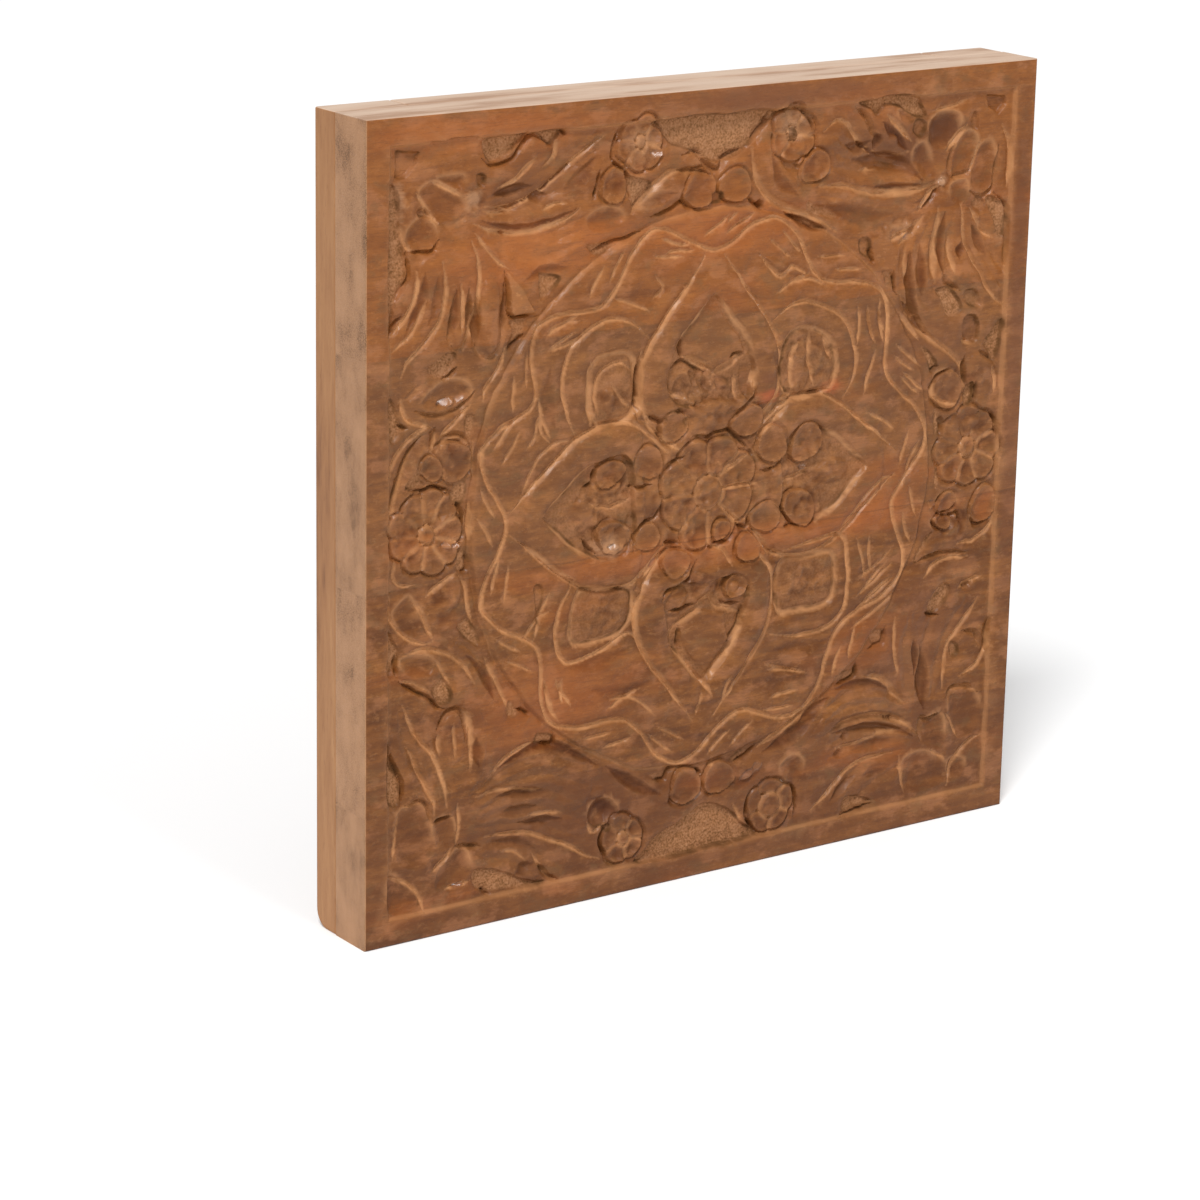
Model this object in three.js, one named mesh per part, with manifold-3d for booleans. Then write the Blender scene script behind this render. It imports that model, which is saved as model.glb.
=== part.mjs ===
// Carved wooden wall panel: one carved board with four battens glued behind its edges
import * as THREE from 'three';
import { mergeVertices } from 'three/addons/utils/BufferGeometryUtils.js';
import Module from 'manifold-3d';

const wasm = await Module();
wasm.setup();

// Driving sizes, in millimetres
const faceWidth = 400;
const faceHeight = 400;
const boardThickness = 27;
const battenThickness = 17.7;
const battenWidth = 40;
const glueGap = 0.3;
const borderWidth = 12.5;
const backEdgeRadius = 9;
const frontEdgeChamfer = 0.8;

// Depths below the plain border
const fieldDrop = 1.8;
const groundDrop = 6;
const fieldSlope = 1.6;
const groundSlope = 1.3;

// Gouge marks
const veinWidth = 3.2;
const veinDepth = 1.7;
const outlineWidth = 3.6;
const outlineDepth = 2.9;
const nickWidth = 3;
const nickDepth = 1.3;
const cupDepth = 2.2;
const tipShare = 0.25;
const lift = 1;

// Medallion in the middle of the field
const medallionRadius = 141;
const waveMiddle = 129.5;
const waveSwing = 9.5;
const rosetteRadius = 29;
const rosettePetals = 8;
const buttonRadius = 8.5;
const smallCupRadius = 8.6;
const petalFlowerRadius = 9.5;
const petalFlowerDrop = 0.6;
const archRoomDrop = 2.4;

// Flowers and buds in the outer field
const sideRosetteRadius = 21;
const endFlowerRadius = 13;
const budRadius = 10;
const cornerPocketRadius = 21;

// The carving is drawn on a field of this half size and stretched to the real field
const drawnHalf = 187.5;
const stretchX = (faceWidth / 2 - borderWidth) / drawnHalf;
const stretchY = (faceHeight / 2 - borderWidth) / drawnHalf;

const fieldLevel = -fieldDrop;
const groundLevel = -groundDrop;
const clear = 4;

// In the carving's own frame x runs across, y up from the middle and z out of the face

function vectors(points) {
  return points.map(([x, y]) => new THREE.Vector2(x, y));
}

// A smooth line through a few chosen points
function smooth(points) {
  return new THREE.SplineCurve(vectors(points)).getPoints(points.length - 1);
}

function smoothLoop(points, steps) {
  const corners = points.map(([x, y]) => new THREE.Vector3(x, y, 0));
  const curve = new THREE.CatmullRomCurve3(corners, true, 'centripetal');
  return curve.getPoints(steps).slice(0, -1).map((p) => new THREE.Vector2(p.x, p.y));
}

function ring(cx, cy, radius, steps, lobes = 0, swing = 0) {
  return Array.from({ length: steps }, (_, i) => {
    const angle = (i / steps) * 2 * Math.PI;
    const r = radius + swing * Math.cos(lobes * angle);
    return new THREE.Vector2(cx + r * Math.cos(angle), cy + r * Math.sin(angle));
  });
}

function toSolid(geometry) {
  const plain = geometry.index ? geometry.toNonIndexed() : geometry;
  for (const name of ['normal', 'uv']) plain.deleteAttribute(name);
  const merged = mergeVertices(plain, 1e-4);
  return new wasm.Manifold(new wasm.Mesh({
    numProp: 3,
    vertProperties: new Float32Array(merged.attributes.position.array),
    triVerts: new Uint32Array(merged.index.array),
  }));
}

function toGeometry(solid) {
  const mesh = solid.getMesh();
  const geometry = new THREE.BufferGeometry();
  geometry.setAttribute('position', new THREE.BufferAttribute(mesh.vertProperties, 3));
  geometry.setIndex(new THREE.BufferAttribute(mesh.triVerts, 1));
  geometry.computeVertexNormals();
  return geometry;
}

function carvingSolid(geometry) {
  return toSolid(geometry.scale(stretchX, stretchY, 1));
}

// Chip cut with a flat floor and sloping walls, open towards the front
function pocket(outline, floor = groundLevel, slope = groundSlope, surface = fieldLevel) {
  const rise = surface - floor + clear;
  const spread = (slope * rise) / (surface - floor);
  const geometry = new THREE.ExtrudeGeometry(new THREE.Shape(outline), {
    depth: lift,
    bevelThickness: rise,
    bevelSize: spread,
    bevelOffset: -slope,
    bevelSegments: 1,
  });
  return carvingSolid(geometry.translate(0, 0, surface + clear));
}

// V-shaped gouge stroke along a line, tapering out at open ends
function stroke(line, width, depth, closed = false) {
  const half = (width / 2) * ((depth + lift) / depth);
  const count = line.length;
  const positions = [];
  line.forEach((point, i) => {
    const before = line[closed ? (i + count - 1) % count : Math.max(i - 1, 0)];
    const after = line[closed ? (i + 1) % count : Math.min(i + 1, count - 1)];
    const along = after.clone().sub(before).normalize();
    const atEnd = !closed && (i === 0 || i === count - 1);
    const size = atEnd ? tipShare : 1;
    const side = new THREE.Vector2(-along.y, along.x).multiplyScalar(half * size);
    positions.push(point.x + side.x, point.y + side.y, fieldLevel + lift);
    positions.push(point.x - side.x, point.y - side.y, fieldLevel + lift);
    positions.push(point.x, point.y, fieldLevel - depth * size);
  });
  const index = [];
  const spans = closed ? count : count - 1;
  for (let i = 0; i < spans; i += 1) {
    const a = i * 3;
    const b = ((i + 1) % count) * 3;
    for (let k = 0; k < 3; k += 1) {
      const next = (k + 1) % 3;
      index.push(a + k, a + next, b + next, a + k, b + next, b + k);
    }
  }
  if (!closed) {
    const last = (count - 1) * 3;
    index.push(0, 2, 1, last, last + 1, last + 2);
  }
  const geometry = new THREE.BufferGeometry();
  geometry.setAttribute('position', new THREE.Float32BufferAttribute(positions, 3));
  geometry.setIndex(index);
  return carvingSolid(geometry);
}

function vein(points) {
  return stroke(smooth(points), veinWidth, veinDepth);
}

function outline(points) {
  return stroke(smooth(points), outlineWidth, outlineDepth);
}

// Single chisel nick, a lozenge on the surface with its keel below the middle
function nick(from, to) {
  const [tip, end] = vectors([from, to]);
  const middle = tip.clone().add(end).multiplyScalar(0.5);
  const side = end.clone().sub(tip).normalize();
  const spread = (nickDepth + lift) / nickDepth;
  const reach = (point) => point.clone().sub(middle).multiplyScalar(spread).add(middle);
  const across = new THREE.Vector2(-side.y, side.x).multiplyScalar((nickWidth / 2) * spread);
  const rim = [reach(tip), middle.clone().sub(across), reach(end), middle.clone().add(across)];
  const top = fieldLevel + lift;
  const positions = rim.flatMap((p) => [p.x, p.y, top]);
  positions.push(middle.x, middle.y, fieldLevel - nickDepth);
  const geometry = new THREE.BufferGeometry();
  geometry.setAttribute('position', new THREE.Float32BufferAttribute(positions, 3));
  geometry.setIndex([0, 1, 2, 0, 2, 3, 1, 0, 4, 2, 1, 4, 3, 2, 4, 0, 3, 4]);
  return carvingSolid(geometry);
}

// Hollow with the given side profile, spun on many flats and longer along its turn
function hollow(profile, sides, [cx, cy, level], long, wide, turn) {
  const geometry = new THREE.LatheGeometry(vectors(profile), sides);
  geometry.rotateX(Math.PI / 2);
  geometry.scale(long, wide, 1);
  geometry.rotateZ(turn);
  return carvingSolid(geometry.translate(cx, cy, level));
}

// Bowl left by a round gouge
function scoop(cx, cy, long, wide, turn = 0) {
  const profile = [[0, -cupDepth], [0.62, -0.75 * cupDepth], [1, 0], [0, 0]];
  return hollow(profile, 6, [cx, cy, fieldLevel], long, wide, turn);
}

// Small chip that runs down to a point
function chip(cx, cy, long, wide, turn = 0, depth = cupDepth, level = fieldLevel) {
  const profile = [[0, -depth], [1 + lift / depth, lift], [0, lift]];
  return hollow(profile, 7, [cx, cy, level], long, wide, turn);
}

// Rounded lump that stands up from the bottom of a cut
function lump(cx, cy, radius, top) {
  const bottom = groundLevel - 1;
  const height = top - bottom;
  const profile = [[0, 0], [radius, 0], [radius * 0.85, height], [0, height]];
  const geometry = new THREE.LatheGeometry(vectors(profile), 8);
  geometry.rotateX(Math.PI / 2);
  return carvingSolid(geometry.translate(cx, cy, bottom));
}

const cuts = [];
const lumps = [];
const cutsInLumps = [];

// Turns a design point (u outwards, v upwards) to one of the four quarter directions
function quarter(k, [u, v]) {
  const turns = [[u, v], [v, -u], [-u, -v], [-v, u]];
  return turns[k];
}

function mirrored(points) {
  return points.map(([u, v]) => [-u, v]);
}

// The wavy line round the medallion, with four nicks beside each wave
function carveWave() {
  const crests = [16.3, 50.6, 84.4, 115.9, 153.2, 186.7, 221.2, 253.7, 285, 311.7, 344.2];
  const stepsPerWave = 6;
  const line = [];
  const at = (degrees, radius) => {
    const angle = THREE.MathUtils.degToRad(degrees);
    return [radius * Math.sin(angle), radius * Math.cos(angle)];
  };
  crests.forEach((crest, k) => {
    const next = k + 1 < crests.length ? crests[k + 1] : crests[0] + 360;
    for (let i = 0; i < stepsPerWave; i += 1) {
      const share = i / stepsPerWave;
      const radius = waveMiddle + waveSwing * Math.cos(share * 2 * Math.PI);
      line.push(at(crest + (next - crest) * share, radius));
    }
    const trough = (crest + next) / 2;
    const inner = waveMiddle - waveSwing;
    const outer = waveMiddle + waveSwing;
    const nicks = [
      [[crest - 2, outer - 11], [crest + 6, inner + 1]],
      [[crest + 1, outer - 5], [crest + 8, inner + 6]],
      [[trough - 3.5, inner + 9], [trough + 3, outer - 1]],
      [[trough + 2, inner + 8], [trough + 8, outer]],
    ];
    for (const [from, to] of nicks) cuts.push(nick(at(...from), at(...to)));
  });
  cuts.push(stroke(vectors(line), veinWidth, veinDepth, true));
  cuts.push(stroke(ring(0, 0, medallionRadius, 36), outlineWidth, outlineDepth, true));
}

// Ogee petal: outer line, sunk heart and the two round flowers inside it
function carvePetal(k) {
  const side = [[5, 117], [18, 101], [34, 82], [42, 66], [41, 48], [24, 23]];
  const heart = [[0, 99], [18, 79], [25, 66], [26, 52], [14, 45], [0, 47]];
  const loop = [...heart, ...mirrored(heart.slice(1, -1)).reverse()];
  const turned = (points) => points.map((p) => quarter(k, p));
  cuts.push(vein(turned(side)));
  cuts.push(vein(turned(mirrored(side))));
  cuts.push(pocket(vectors(turned(loop))));
  const level = fieldLevel - petalFlowerDrop;
  const pit = petalFlowerRadius * 0.7;
  for (const s of [-1, 1]) {
    const [x, y] = quarter(k, [s * 15, 57]);
    lumps.push(lump(x, y, petalFlowerRadius, level));
    cutsInLumps.push(chip(x, y, pit, pit, 0, cupDepth, level));
    const [cupX, cupY] = quarter(k, [s * 21.5, 35.5]);
    cuts.push(scoop(cupX, cupY, smallCupRadius, smallCupRadius));
  }
}

// Round flower of scooped petals about a raised button
function carveRosette(cx, cy, radius, petals, button, phase) {
  const middle = (radius + button) / 2;
  const long = (radius - button) / 2 - 0.4;
  const wide = middle * Math.sin(Math.PI / petals) - 0.3;
  for (let i = 0; i < petals; i += 1) {
    const angle = ((i + phase) / petals) * 2 * Math.PI;
    const x = cx + middle * Math.cos(angle);
    const y = cy + middle * Math.sin(angle);
    cuts.push(chip(x, y, long, wide, angle));
  }
  const edge = ring(cx, cy, radius, petals * 2, petals, radius * 0.05);
  cuts.push(stroke(edge, outlineWidth, outlineDepth, true));
  cuts.push(chip(cx, cy, button * 0.6, button * 0.6, 0, veinDepth));
}

// Nested arches between two petals, drawn for the upper right and turned
function carveArch(k) {
  const roomLevel = fieldLevel - archRoomDrop;
  const diagonal = Math.PI / 4 - (k * Math.PI) / 2;
  const arch = [[39, 84], [58, 88.5], [77, 83], [88.5, 62], [84, 39]];
  const opening = [[45, 46], [44, 65], [52, 76], [66, 74], [75, 64], [76, 52], [65, 44]];
  const turned = (points) => points.map((p) => quarter(k, p));
  cuts.push(vein(turned(arch)));
  cuts.push(pocket(smoothLoop(turned(opening), 12), roomLevel));
  const [x, y] = quarter(k, [60, 60]);
  cuts.push(chip(x, y, 12, 4, diagonal, cupDepth, roomLevel));
  cuts.push(nick(quarter(k, [96, 41]), quarter(k, [102, 56])));
  cuts.push(nick(quarter(k, [41, 96]), quarter(k, [56, 102])));
}

// A shape's outline has to run anticlockwise for its walls to slope inwards
function inward(points) {
  const turned = vectors(points);
  return THREE.ShapeUtils.isClockWise(turned) ? turned.reverse() : turned;
}

// Palmette leaves that spread from a hub near the corner along both borders
function carveCorner(sx, sy) {
  const veins = [
    [[134, 155], [115, 155], [96, 162], [82, 174], [68, 182]],
    [[137, 144], [118, 139], [100, 140], [83, 147.5]],
    [[124, 151], [104, 153], [84, 148]],
    [[127, 160], [108, 162], [93, 178]],
    [[122, 130], [102, 127], [84, 129]],
  ];
  const grounds = [
    [[137, 186], [138, 179], [128, 174], [117, 176.5], [106, 186]],
    [[101, 186], [96, 181], [91, 186]],
    [[76, 166], [79, 158], [74, 150], [71.5, 158]],
    [[99, 119], [90, 116], [98, 110], [106, 109]],
  ];
  for (const swap of [false, true]) {
    const put = ([u, v]) => (swap ? [sx * v, sy * u] : [sx * u, sy * v]);
    for (const points of veins) cuts.push(vein(points.map(put)));
    for (const points of grounds) cuts.push(pocket(inward(points.map(put))));
    const [x, y] = put([148, 172]);
    cuts.push(scoop(x, y, 12, 8.5, sx * sy * (swap ? 0.1 : Math.PI / 2 - 0.1)));
    cuts.push(outline([[133, 126], [121, 116], [104, 103]].map(put)));
  }
  cuts.push(scoop(sx * 155, sy * 156, 13, 7.5, (sx * sy * Math.PI) / 4));
  const pit = [[184, 184], [171, 184], [175, 175], [184, 171]];
  cuts.push(pocket(inward(pit.map(([u, v]) => [sx * u, sy * v]))));
  const arc = [0, 1, 2, 3].map((i) => {
    const angle = (i / 3) * (Math.PI / 2);
    const u = drawnHalf - cornerPocketRadius * Math.cos(angle);
    const v = drawnHalf - cornerPocketRadius * Math.sin(angle);
    return [sx * u, sy * v];
  });
  cuts.push(vein(arc));
}

// Stippled ground, flowers, buds and leaf bands at the middle of the top and bottom edges
function carveEnd(sy) {
  const ground = [[-34, 186], [-30, 173], [-14, 167], [0, 164], [14, 167], [28, 174], [32, 186]];
  cuts.push(pocket(inward(ground.map(([u, v]) => [u, sy * v]))));
  for (const sx of [-1, 1]) {
    carveFlower(sx * 46, sy * 174.5);
    cuts.push(scoop(sx * 11, sy * 153.5, budRadius, budRadius));
    cuts.push(scoop(sx * 61, sy * 157, budRadius * 0.85, budRadius * 0.85));
    const band = [[21, 163], [29, 151], [42, 141], [62, 133]];
    cuts.push(outline(band.map(([u, v]) => [sx * u, sy * v])));
    const stem = [[37, 163], [43, 153], [51, 145]];
    cuts.push(vein(stem.map(([u, v]) => [sx * u, sy * v])));
  }
}

// Small flower of five chips inside a lobed outline
function carveFlower(cx, cy) {
  const petals = 5;
  const reach = endFlowerRadius * 0.6;
  cuts.push(stroke(ring(cx, cy, endFlowerRadius, 10, petals, 1), outlineWidth, outlineDepth, true));
  for (let i = 0; i < petals; i += 1) {
    const angle = (i / petals) * 2 * Math.PI;
    const x = cx + reach * Math.cos(angle);
    const y = cy + reach * Math.sin(angle);
    cuts.push(chip(x, y, 4.4, 3.8, angle, veinDepth));
  }
  cuts.push(chip(cx, cy, 2.6, 2.6, 0, outlineDepth));
}

// Rosette and hollow buds at the middle of the left and right edges
function carveFlank(sx) {
  carveRosette(sx * 167, 1, sideRosetteRadius, rosettePetals, 5.5, 0.5);
  for (const sy of [-1, 1]) {
    cuts.push(scoop(sx * 151, sy * 34, budRadius, budRadius));
    cuts.push(scoop(sx * 174, sy * 37, budRadius, budRadius * 0.9));
    const leaf = [[186, 24], [183, 45], [163, 55], [140, 44]];
    cuts.push(outline(leaf.map(([u, v]) => [sx * u, sy * v])));
    const grounds = [
      [[142, 26], [150, 20], [143, 12]],
      [[186, 50], [186, 66], [177, 56]],
    ];
    for (const points of grounds) {
      cuts.push(pocket(inward(points.map(([u, v]) => [sx * u, sy * v]))));
    }
    cuts.push(scoop(sx * 161, sy * 63.5, 13, 6, sx * sy * -0.2));
  }
}

// The board: border left proud, field sunk, then all the cuts
function carvedBoard() {
  const edge = frontEdgeChamfer;
  const slab = new THREE.Shape(vectors([
    [-faceWidth / 2, -faceHeight / 2],
    [faceWidth / 2, -faceHeight / 2],
    [faceWidth / 2, faceHeight / 2],
    [-faceWidth / 2, faceHeight / 2],
  ]));
  const blank = new THREE.ExtrudeGeometry(slab, {
    depth: boardThickness - 2 * edge,
    bevelThickness: edge,
    bevelSize: edge,
    bevelOffset: -edge,
    bevelSegments: 1,
  });
  let board = toSolid(blank.translate(0, 0, edge - boardThickness));
  const field = [[-1, -1], [1, -1], [1, 1], [-1, 1]].map(([sx, sy]) => [sx * drawnHalf, sy * drawnHalf]);
  board = board.subtract(pocket(vectors(field), fieldLevel, fieldSlope, 0));
  for (const cut of cuts) board = board.subtract(cut);
  for (const piece of lumps) board = board.add(piece);
  for (const cut of cutsInLumps) board = board.subtract(cut);
  return toGeometry(board);
}

for (let k = 0; k < 4; k += 1) {
  carvePetal(k);
  carveArch(k);
}
carveWave();
carveRosette(0, 0, rosetteRadius, rosettePetals, buttonRadius, 0.5);
for (const sx of [-1, 1]) {
  carveFlank(sx);
  for (const sy of [-1, 1]) carveCorner(sx, sy);
}
for (const sy of [-1, 1]) carveEnd(sy);

// Batten seen from the side, its lower back corner rounded where it is a foot, pushed out sideways
function batten(length, height, rounding) {
  const t = battenThickness;
  const r = Math.min(rounding, t * 0.8, height * 0.8);
  const profile = new THREE.Shape();
  profile.moveTo(0, 0);
  profile.lineTo(t - r, 0);
  if (r > 0) profile.absarc(t - r, r, r, -Math.PI / 2, 0, false);
  profile.lineTo(t, height);
  profile.lineTo(0, height);
  profile.closePath();
  const settings = { depth: length, bevelEnabled: false, curveSegments: 4 };
  return new THREE.ExtrudeGeometry(profile, settings).rotateY(Math.PI / 2);
}

const wood = new THREE.MeshStandardMaterial({ color: 0xa0663c, roughness: 0.5, metalness: 0 });
const paleWood = new THREE.MeshStandardMaterial({ color: 0xb9906a, roughness: 0.6, metalness: 0 });

const panel = new THREE.Group();
panel.rotation.x = Math.PI / 2;
panel.position.set(0, -(boardThickness + glueGap + battenThickness) / 2, faceHeight / 2);

function addPiece(name, geometry, material, place = [0, 0, 0]) {
  const mesh = new THREE.Mesh(geometry, material);
  mesh.name = name;
  mesh.position.set(...place);
  panel.add(mesh);
}

const backOfBoard = -boardThickness - glueGap;
const left = -faceWidth / 2;
const foot = -faceHeight / 2;
const stile = batten(battenWidth, faceHeight, backEdgeRadius);
const railLength = faceWidth - 2 * battenWidth - 2 * glueGap;
const railStart = left + battenWidth + glueGap;
const topRail = batten(railLength, battenWidth, 0);
const bottomRail = batten(railLength, battenWidth, backEdgeRadius);

addPiece('carved_board', carvedBoard(), wood);
addPiece('left_stile', stile, paleWood, [left, foot, backOfBoard]);
addPiece('right_stile', stile.clone(), paleWood, [-left - battenWidth, foot, backOfBoard]);
addPiece('top_rail', topRail, paleWood, [railStart, -foot - battenWidth, backOfBoard]);
addPiece('bottom_rail', bottomRail, paleWood, [railStart, foot, backOfBoard]);

export default panel;
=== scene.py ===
import math

import bpy
import numpy as np
from mathutils import Matrix, Vector


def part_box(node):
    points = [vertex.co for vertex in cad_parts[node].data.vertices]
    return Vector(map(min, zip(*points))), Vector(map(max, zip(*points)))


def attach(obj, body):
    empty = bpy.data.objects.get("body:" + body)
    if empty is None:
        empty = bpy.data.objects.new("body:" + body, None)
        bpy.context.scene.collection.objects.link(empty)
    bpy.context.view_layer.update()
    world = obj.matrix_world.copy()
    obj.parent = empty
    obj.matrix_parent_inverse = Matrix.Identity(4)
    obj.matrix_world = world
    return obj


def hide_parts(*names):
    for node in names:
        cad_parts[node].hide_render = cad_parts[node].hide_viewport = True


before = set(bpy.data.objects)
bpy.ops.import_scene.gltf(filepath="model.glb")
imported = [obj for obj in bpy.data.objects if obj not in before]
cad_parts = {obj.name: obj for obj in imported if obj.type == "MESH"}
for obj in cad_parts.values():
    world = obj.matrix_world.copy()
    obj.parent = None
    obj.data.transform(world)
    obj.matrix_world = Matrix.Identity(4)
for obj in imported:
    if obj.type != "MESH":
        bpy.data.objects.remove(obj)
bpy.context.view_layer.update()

MM = 0.001
BOARD_LOW, BOARD_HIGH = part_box("carved_board")
FACE_Y = BOARD_LOW[1]
MIDDLE_Z = (BOARD_LOW[2] + BOARD_HIGH[2]) / 2
HALF_WIDTH = (BOARD_HIGH[0] - BOARD_LOW[0]) / 2
HALF_HEIGHT = (BOARD_HIGH[2] - BOARD_LOW[2]) / 2

# The carving is drawn in millimetres from the middle of a face of this half size, x to the right and y up
DRAWN_HALF = 200
BORDER_WIDTH = 12.5
FIELD_HALF = DRAWN_HALF - BORDER_WIDTH
GRID_STEPS = 641
BOARD_TRIANGLES = 188000

# Depths below the plain border, and the widths of their slopes and of the rounded outer edge
FIELD_DROP = 1.8
FIELD_SLOPE = 1.6
GROUND_DROP = 4.8
GROUND_SLOPE = 1.5
EDGE_ROUND = 1.1

# Gouge strokes: width, depth, how pale the walls are worn and how much dirt and painted shade is left in
# them
VEIN = (3.2, 1.7, 1.0, 0.0)
FINE = (2.4, 1.1, 0.8, 0.0)
RIDGE = (4.6, 2.1, 0.9, 0.1)
OUTLINE = (3.8, 2.9, 0.35, 0.55)
CREASE = (2.7, 2.6, 0.0, 0.9)
BLADE = (7.5, 1.5, 0.1, 0.05)
SOFT = (4.0, 1.8, 0.3, 0.2)
HEART_EDGE = (4.2, 1.6, 1.0, 0.0)
ROOM_EDGE = (3.8, 1.3, 0.8, 0.0)
INNER_POST = (5, 2.4, 1.0, 0.0)
OUTER_POST = (5, 2.2, 1.0, 0.0)

# Places of one finish each, kept on the mesh as attributes; the shade mask is painted shade, the crevice
# mask dirt with painted shade, and the pale masks also carry painted highlights
MASKS = ("ground", "vein", "worn", "grime", "shade", "polish")

# Rise to the right and upwards of the blade cuts that shine
SHINE_SLOPE = (0.37, -0.45)

# The border stays this far under the face of the board's solid
SKIN = 0.02

# Hollow of a bud, the height of its rim and the cut round it
CUP_DEPTH = 1.7
CUP_LEVEL = -1.3
CUP_SURROUND = 1.3

# How much painted shade darkens a hollowed leaf in its middle
SCOOP_SHADE = 0.34

MEDALLION_RADIUS = 141
WAVE_MIDDLE = 129.5
WAVE_SWING = 9.5
ROSETTE_RADIUS = 29
SIDE_ROSETTE_RADIUS = 21
CORNER_POCKET_RADIUS = 21


def pairs(points):
    """Chosen points, written x, y, x, y, as rows of x and y."""
    return np.reshape(np.asarray(points, float), (-1, 2))


def smooth(points, closed=False, steps=7):
    """Smooth line through a few chosen points."""
    p = pairs(points)
    if closed:
        p = np.vstack([p[-1], p, p[:2]])
    else:
        p = np.vstack([2 * p[0] - p[1], p, 2 * p[-1] - p[-2]])
    t = np.linspace(0, 1, steps, endpoint=False)[:, None]
    spans = []
    for a, b, c, d in zip(p, p[1:], p[2:], p[3:]):
        bend = (2 * b, c - a, 2 * a - 5 * b + 4 * c - d, 3 * b - a - 3 * c + d)
        spans.append(sum(part * t**k for k, part in enumerate(bend)) / 2)
    if not closed:
        spans.append(p[-2:-1])
    return np.vstack(spans)


def to_line(x, y, line):
    """Distance from each point to a line, and the share of the line's length passed there."""
    steps = np.diff(line, axis=0)
    lengths = np.hypot(*steps.T)
    passed = 0
    best = np.full(x.shape, np.inf)
    share = np.zeros(x.shape)
    for (ax, ay), (dx, dy), length in zip(line, steps, lengths):
        t = np.clip(((x - ax) * dx + (y - ay) * dy) / max(length**2, 1e-9), 0, 1)
        distance = np.hypot(x - ax - t * dx, y - ay - t * dy)
        nearer = distance < best
        best = np.where(nearer, distance, best)
        share = np.where(nearer, passed + t * length, share)
        passed += length
    return best, share / passed


def inside(x, y, loop):
    """Whether each point lies inside a closed outline."""
    odd = np.zeros(x.shape, bool)
    for (ax, ay), (bx, by) in zip(loop, np.roll(loop, -1, axis=0)):
        if ay != by:
            crosses = (ay > y) != (by > y)
            odd ^= crosses & (x < (bx - ax) * (y - ay) / (by - ay) + ax)
    return odd


def ease(t):
    """Soft step from 0 to 1."""
    t = np.clip(t, 0, 1)
    return t * t * (3 - 2 * t)


def hump(distance, width):
    """1 on a line, fading to 0 beyond a width from it."""
    return np.exp(-((distance / width) ** 2))


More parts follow.
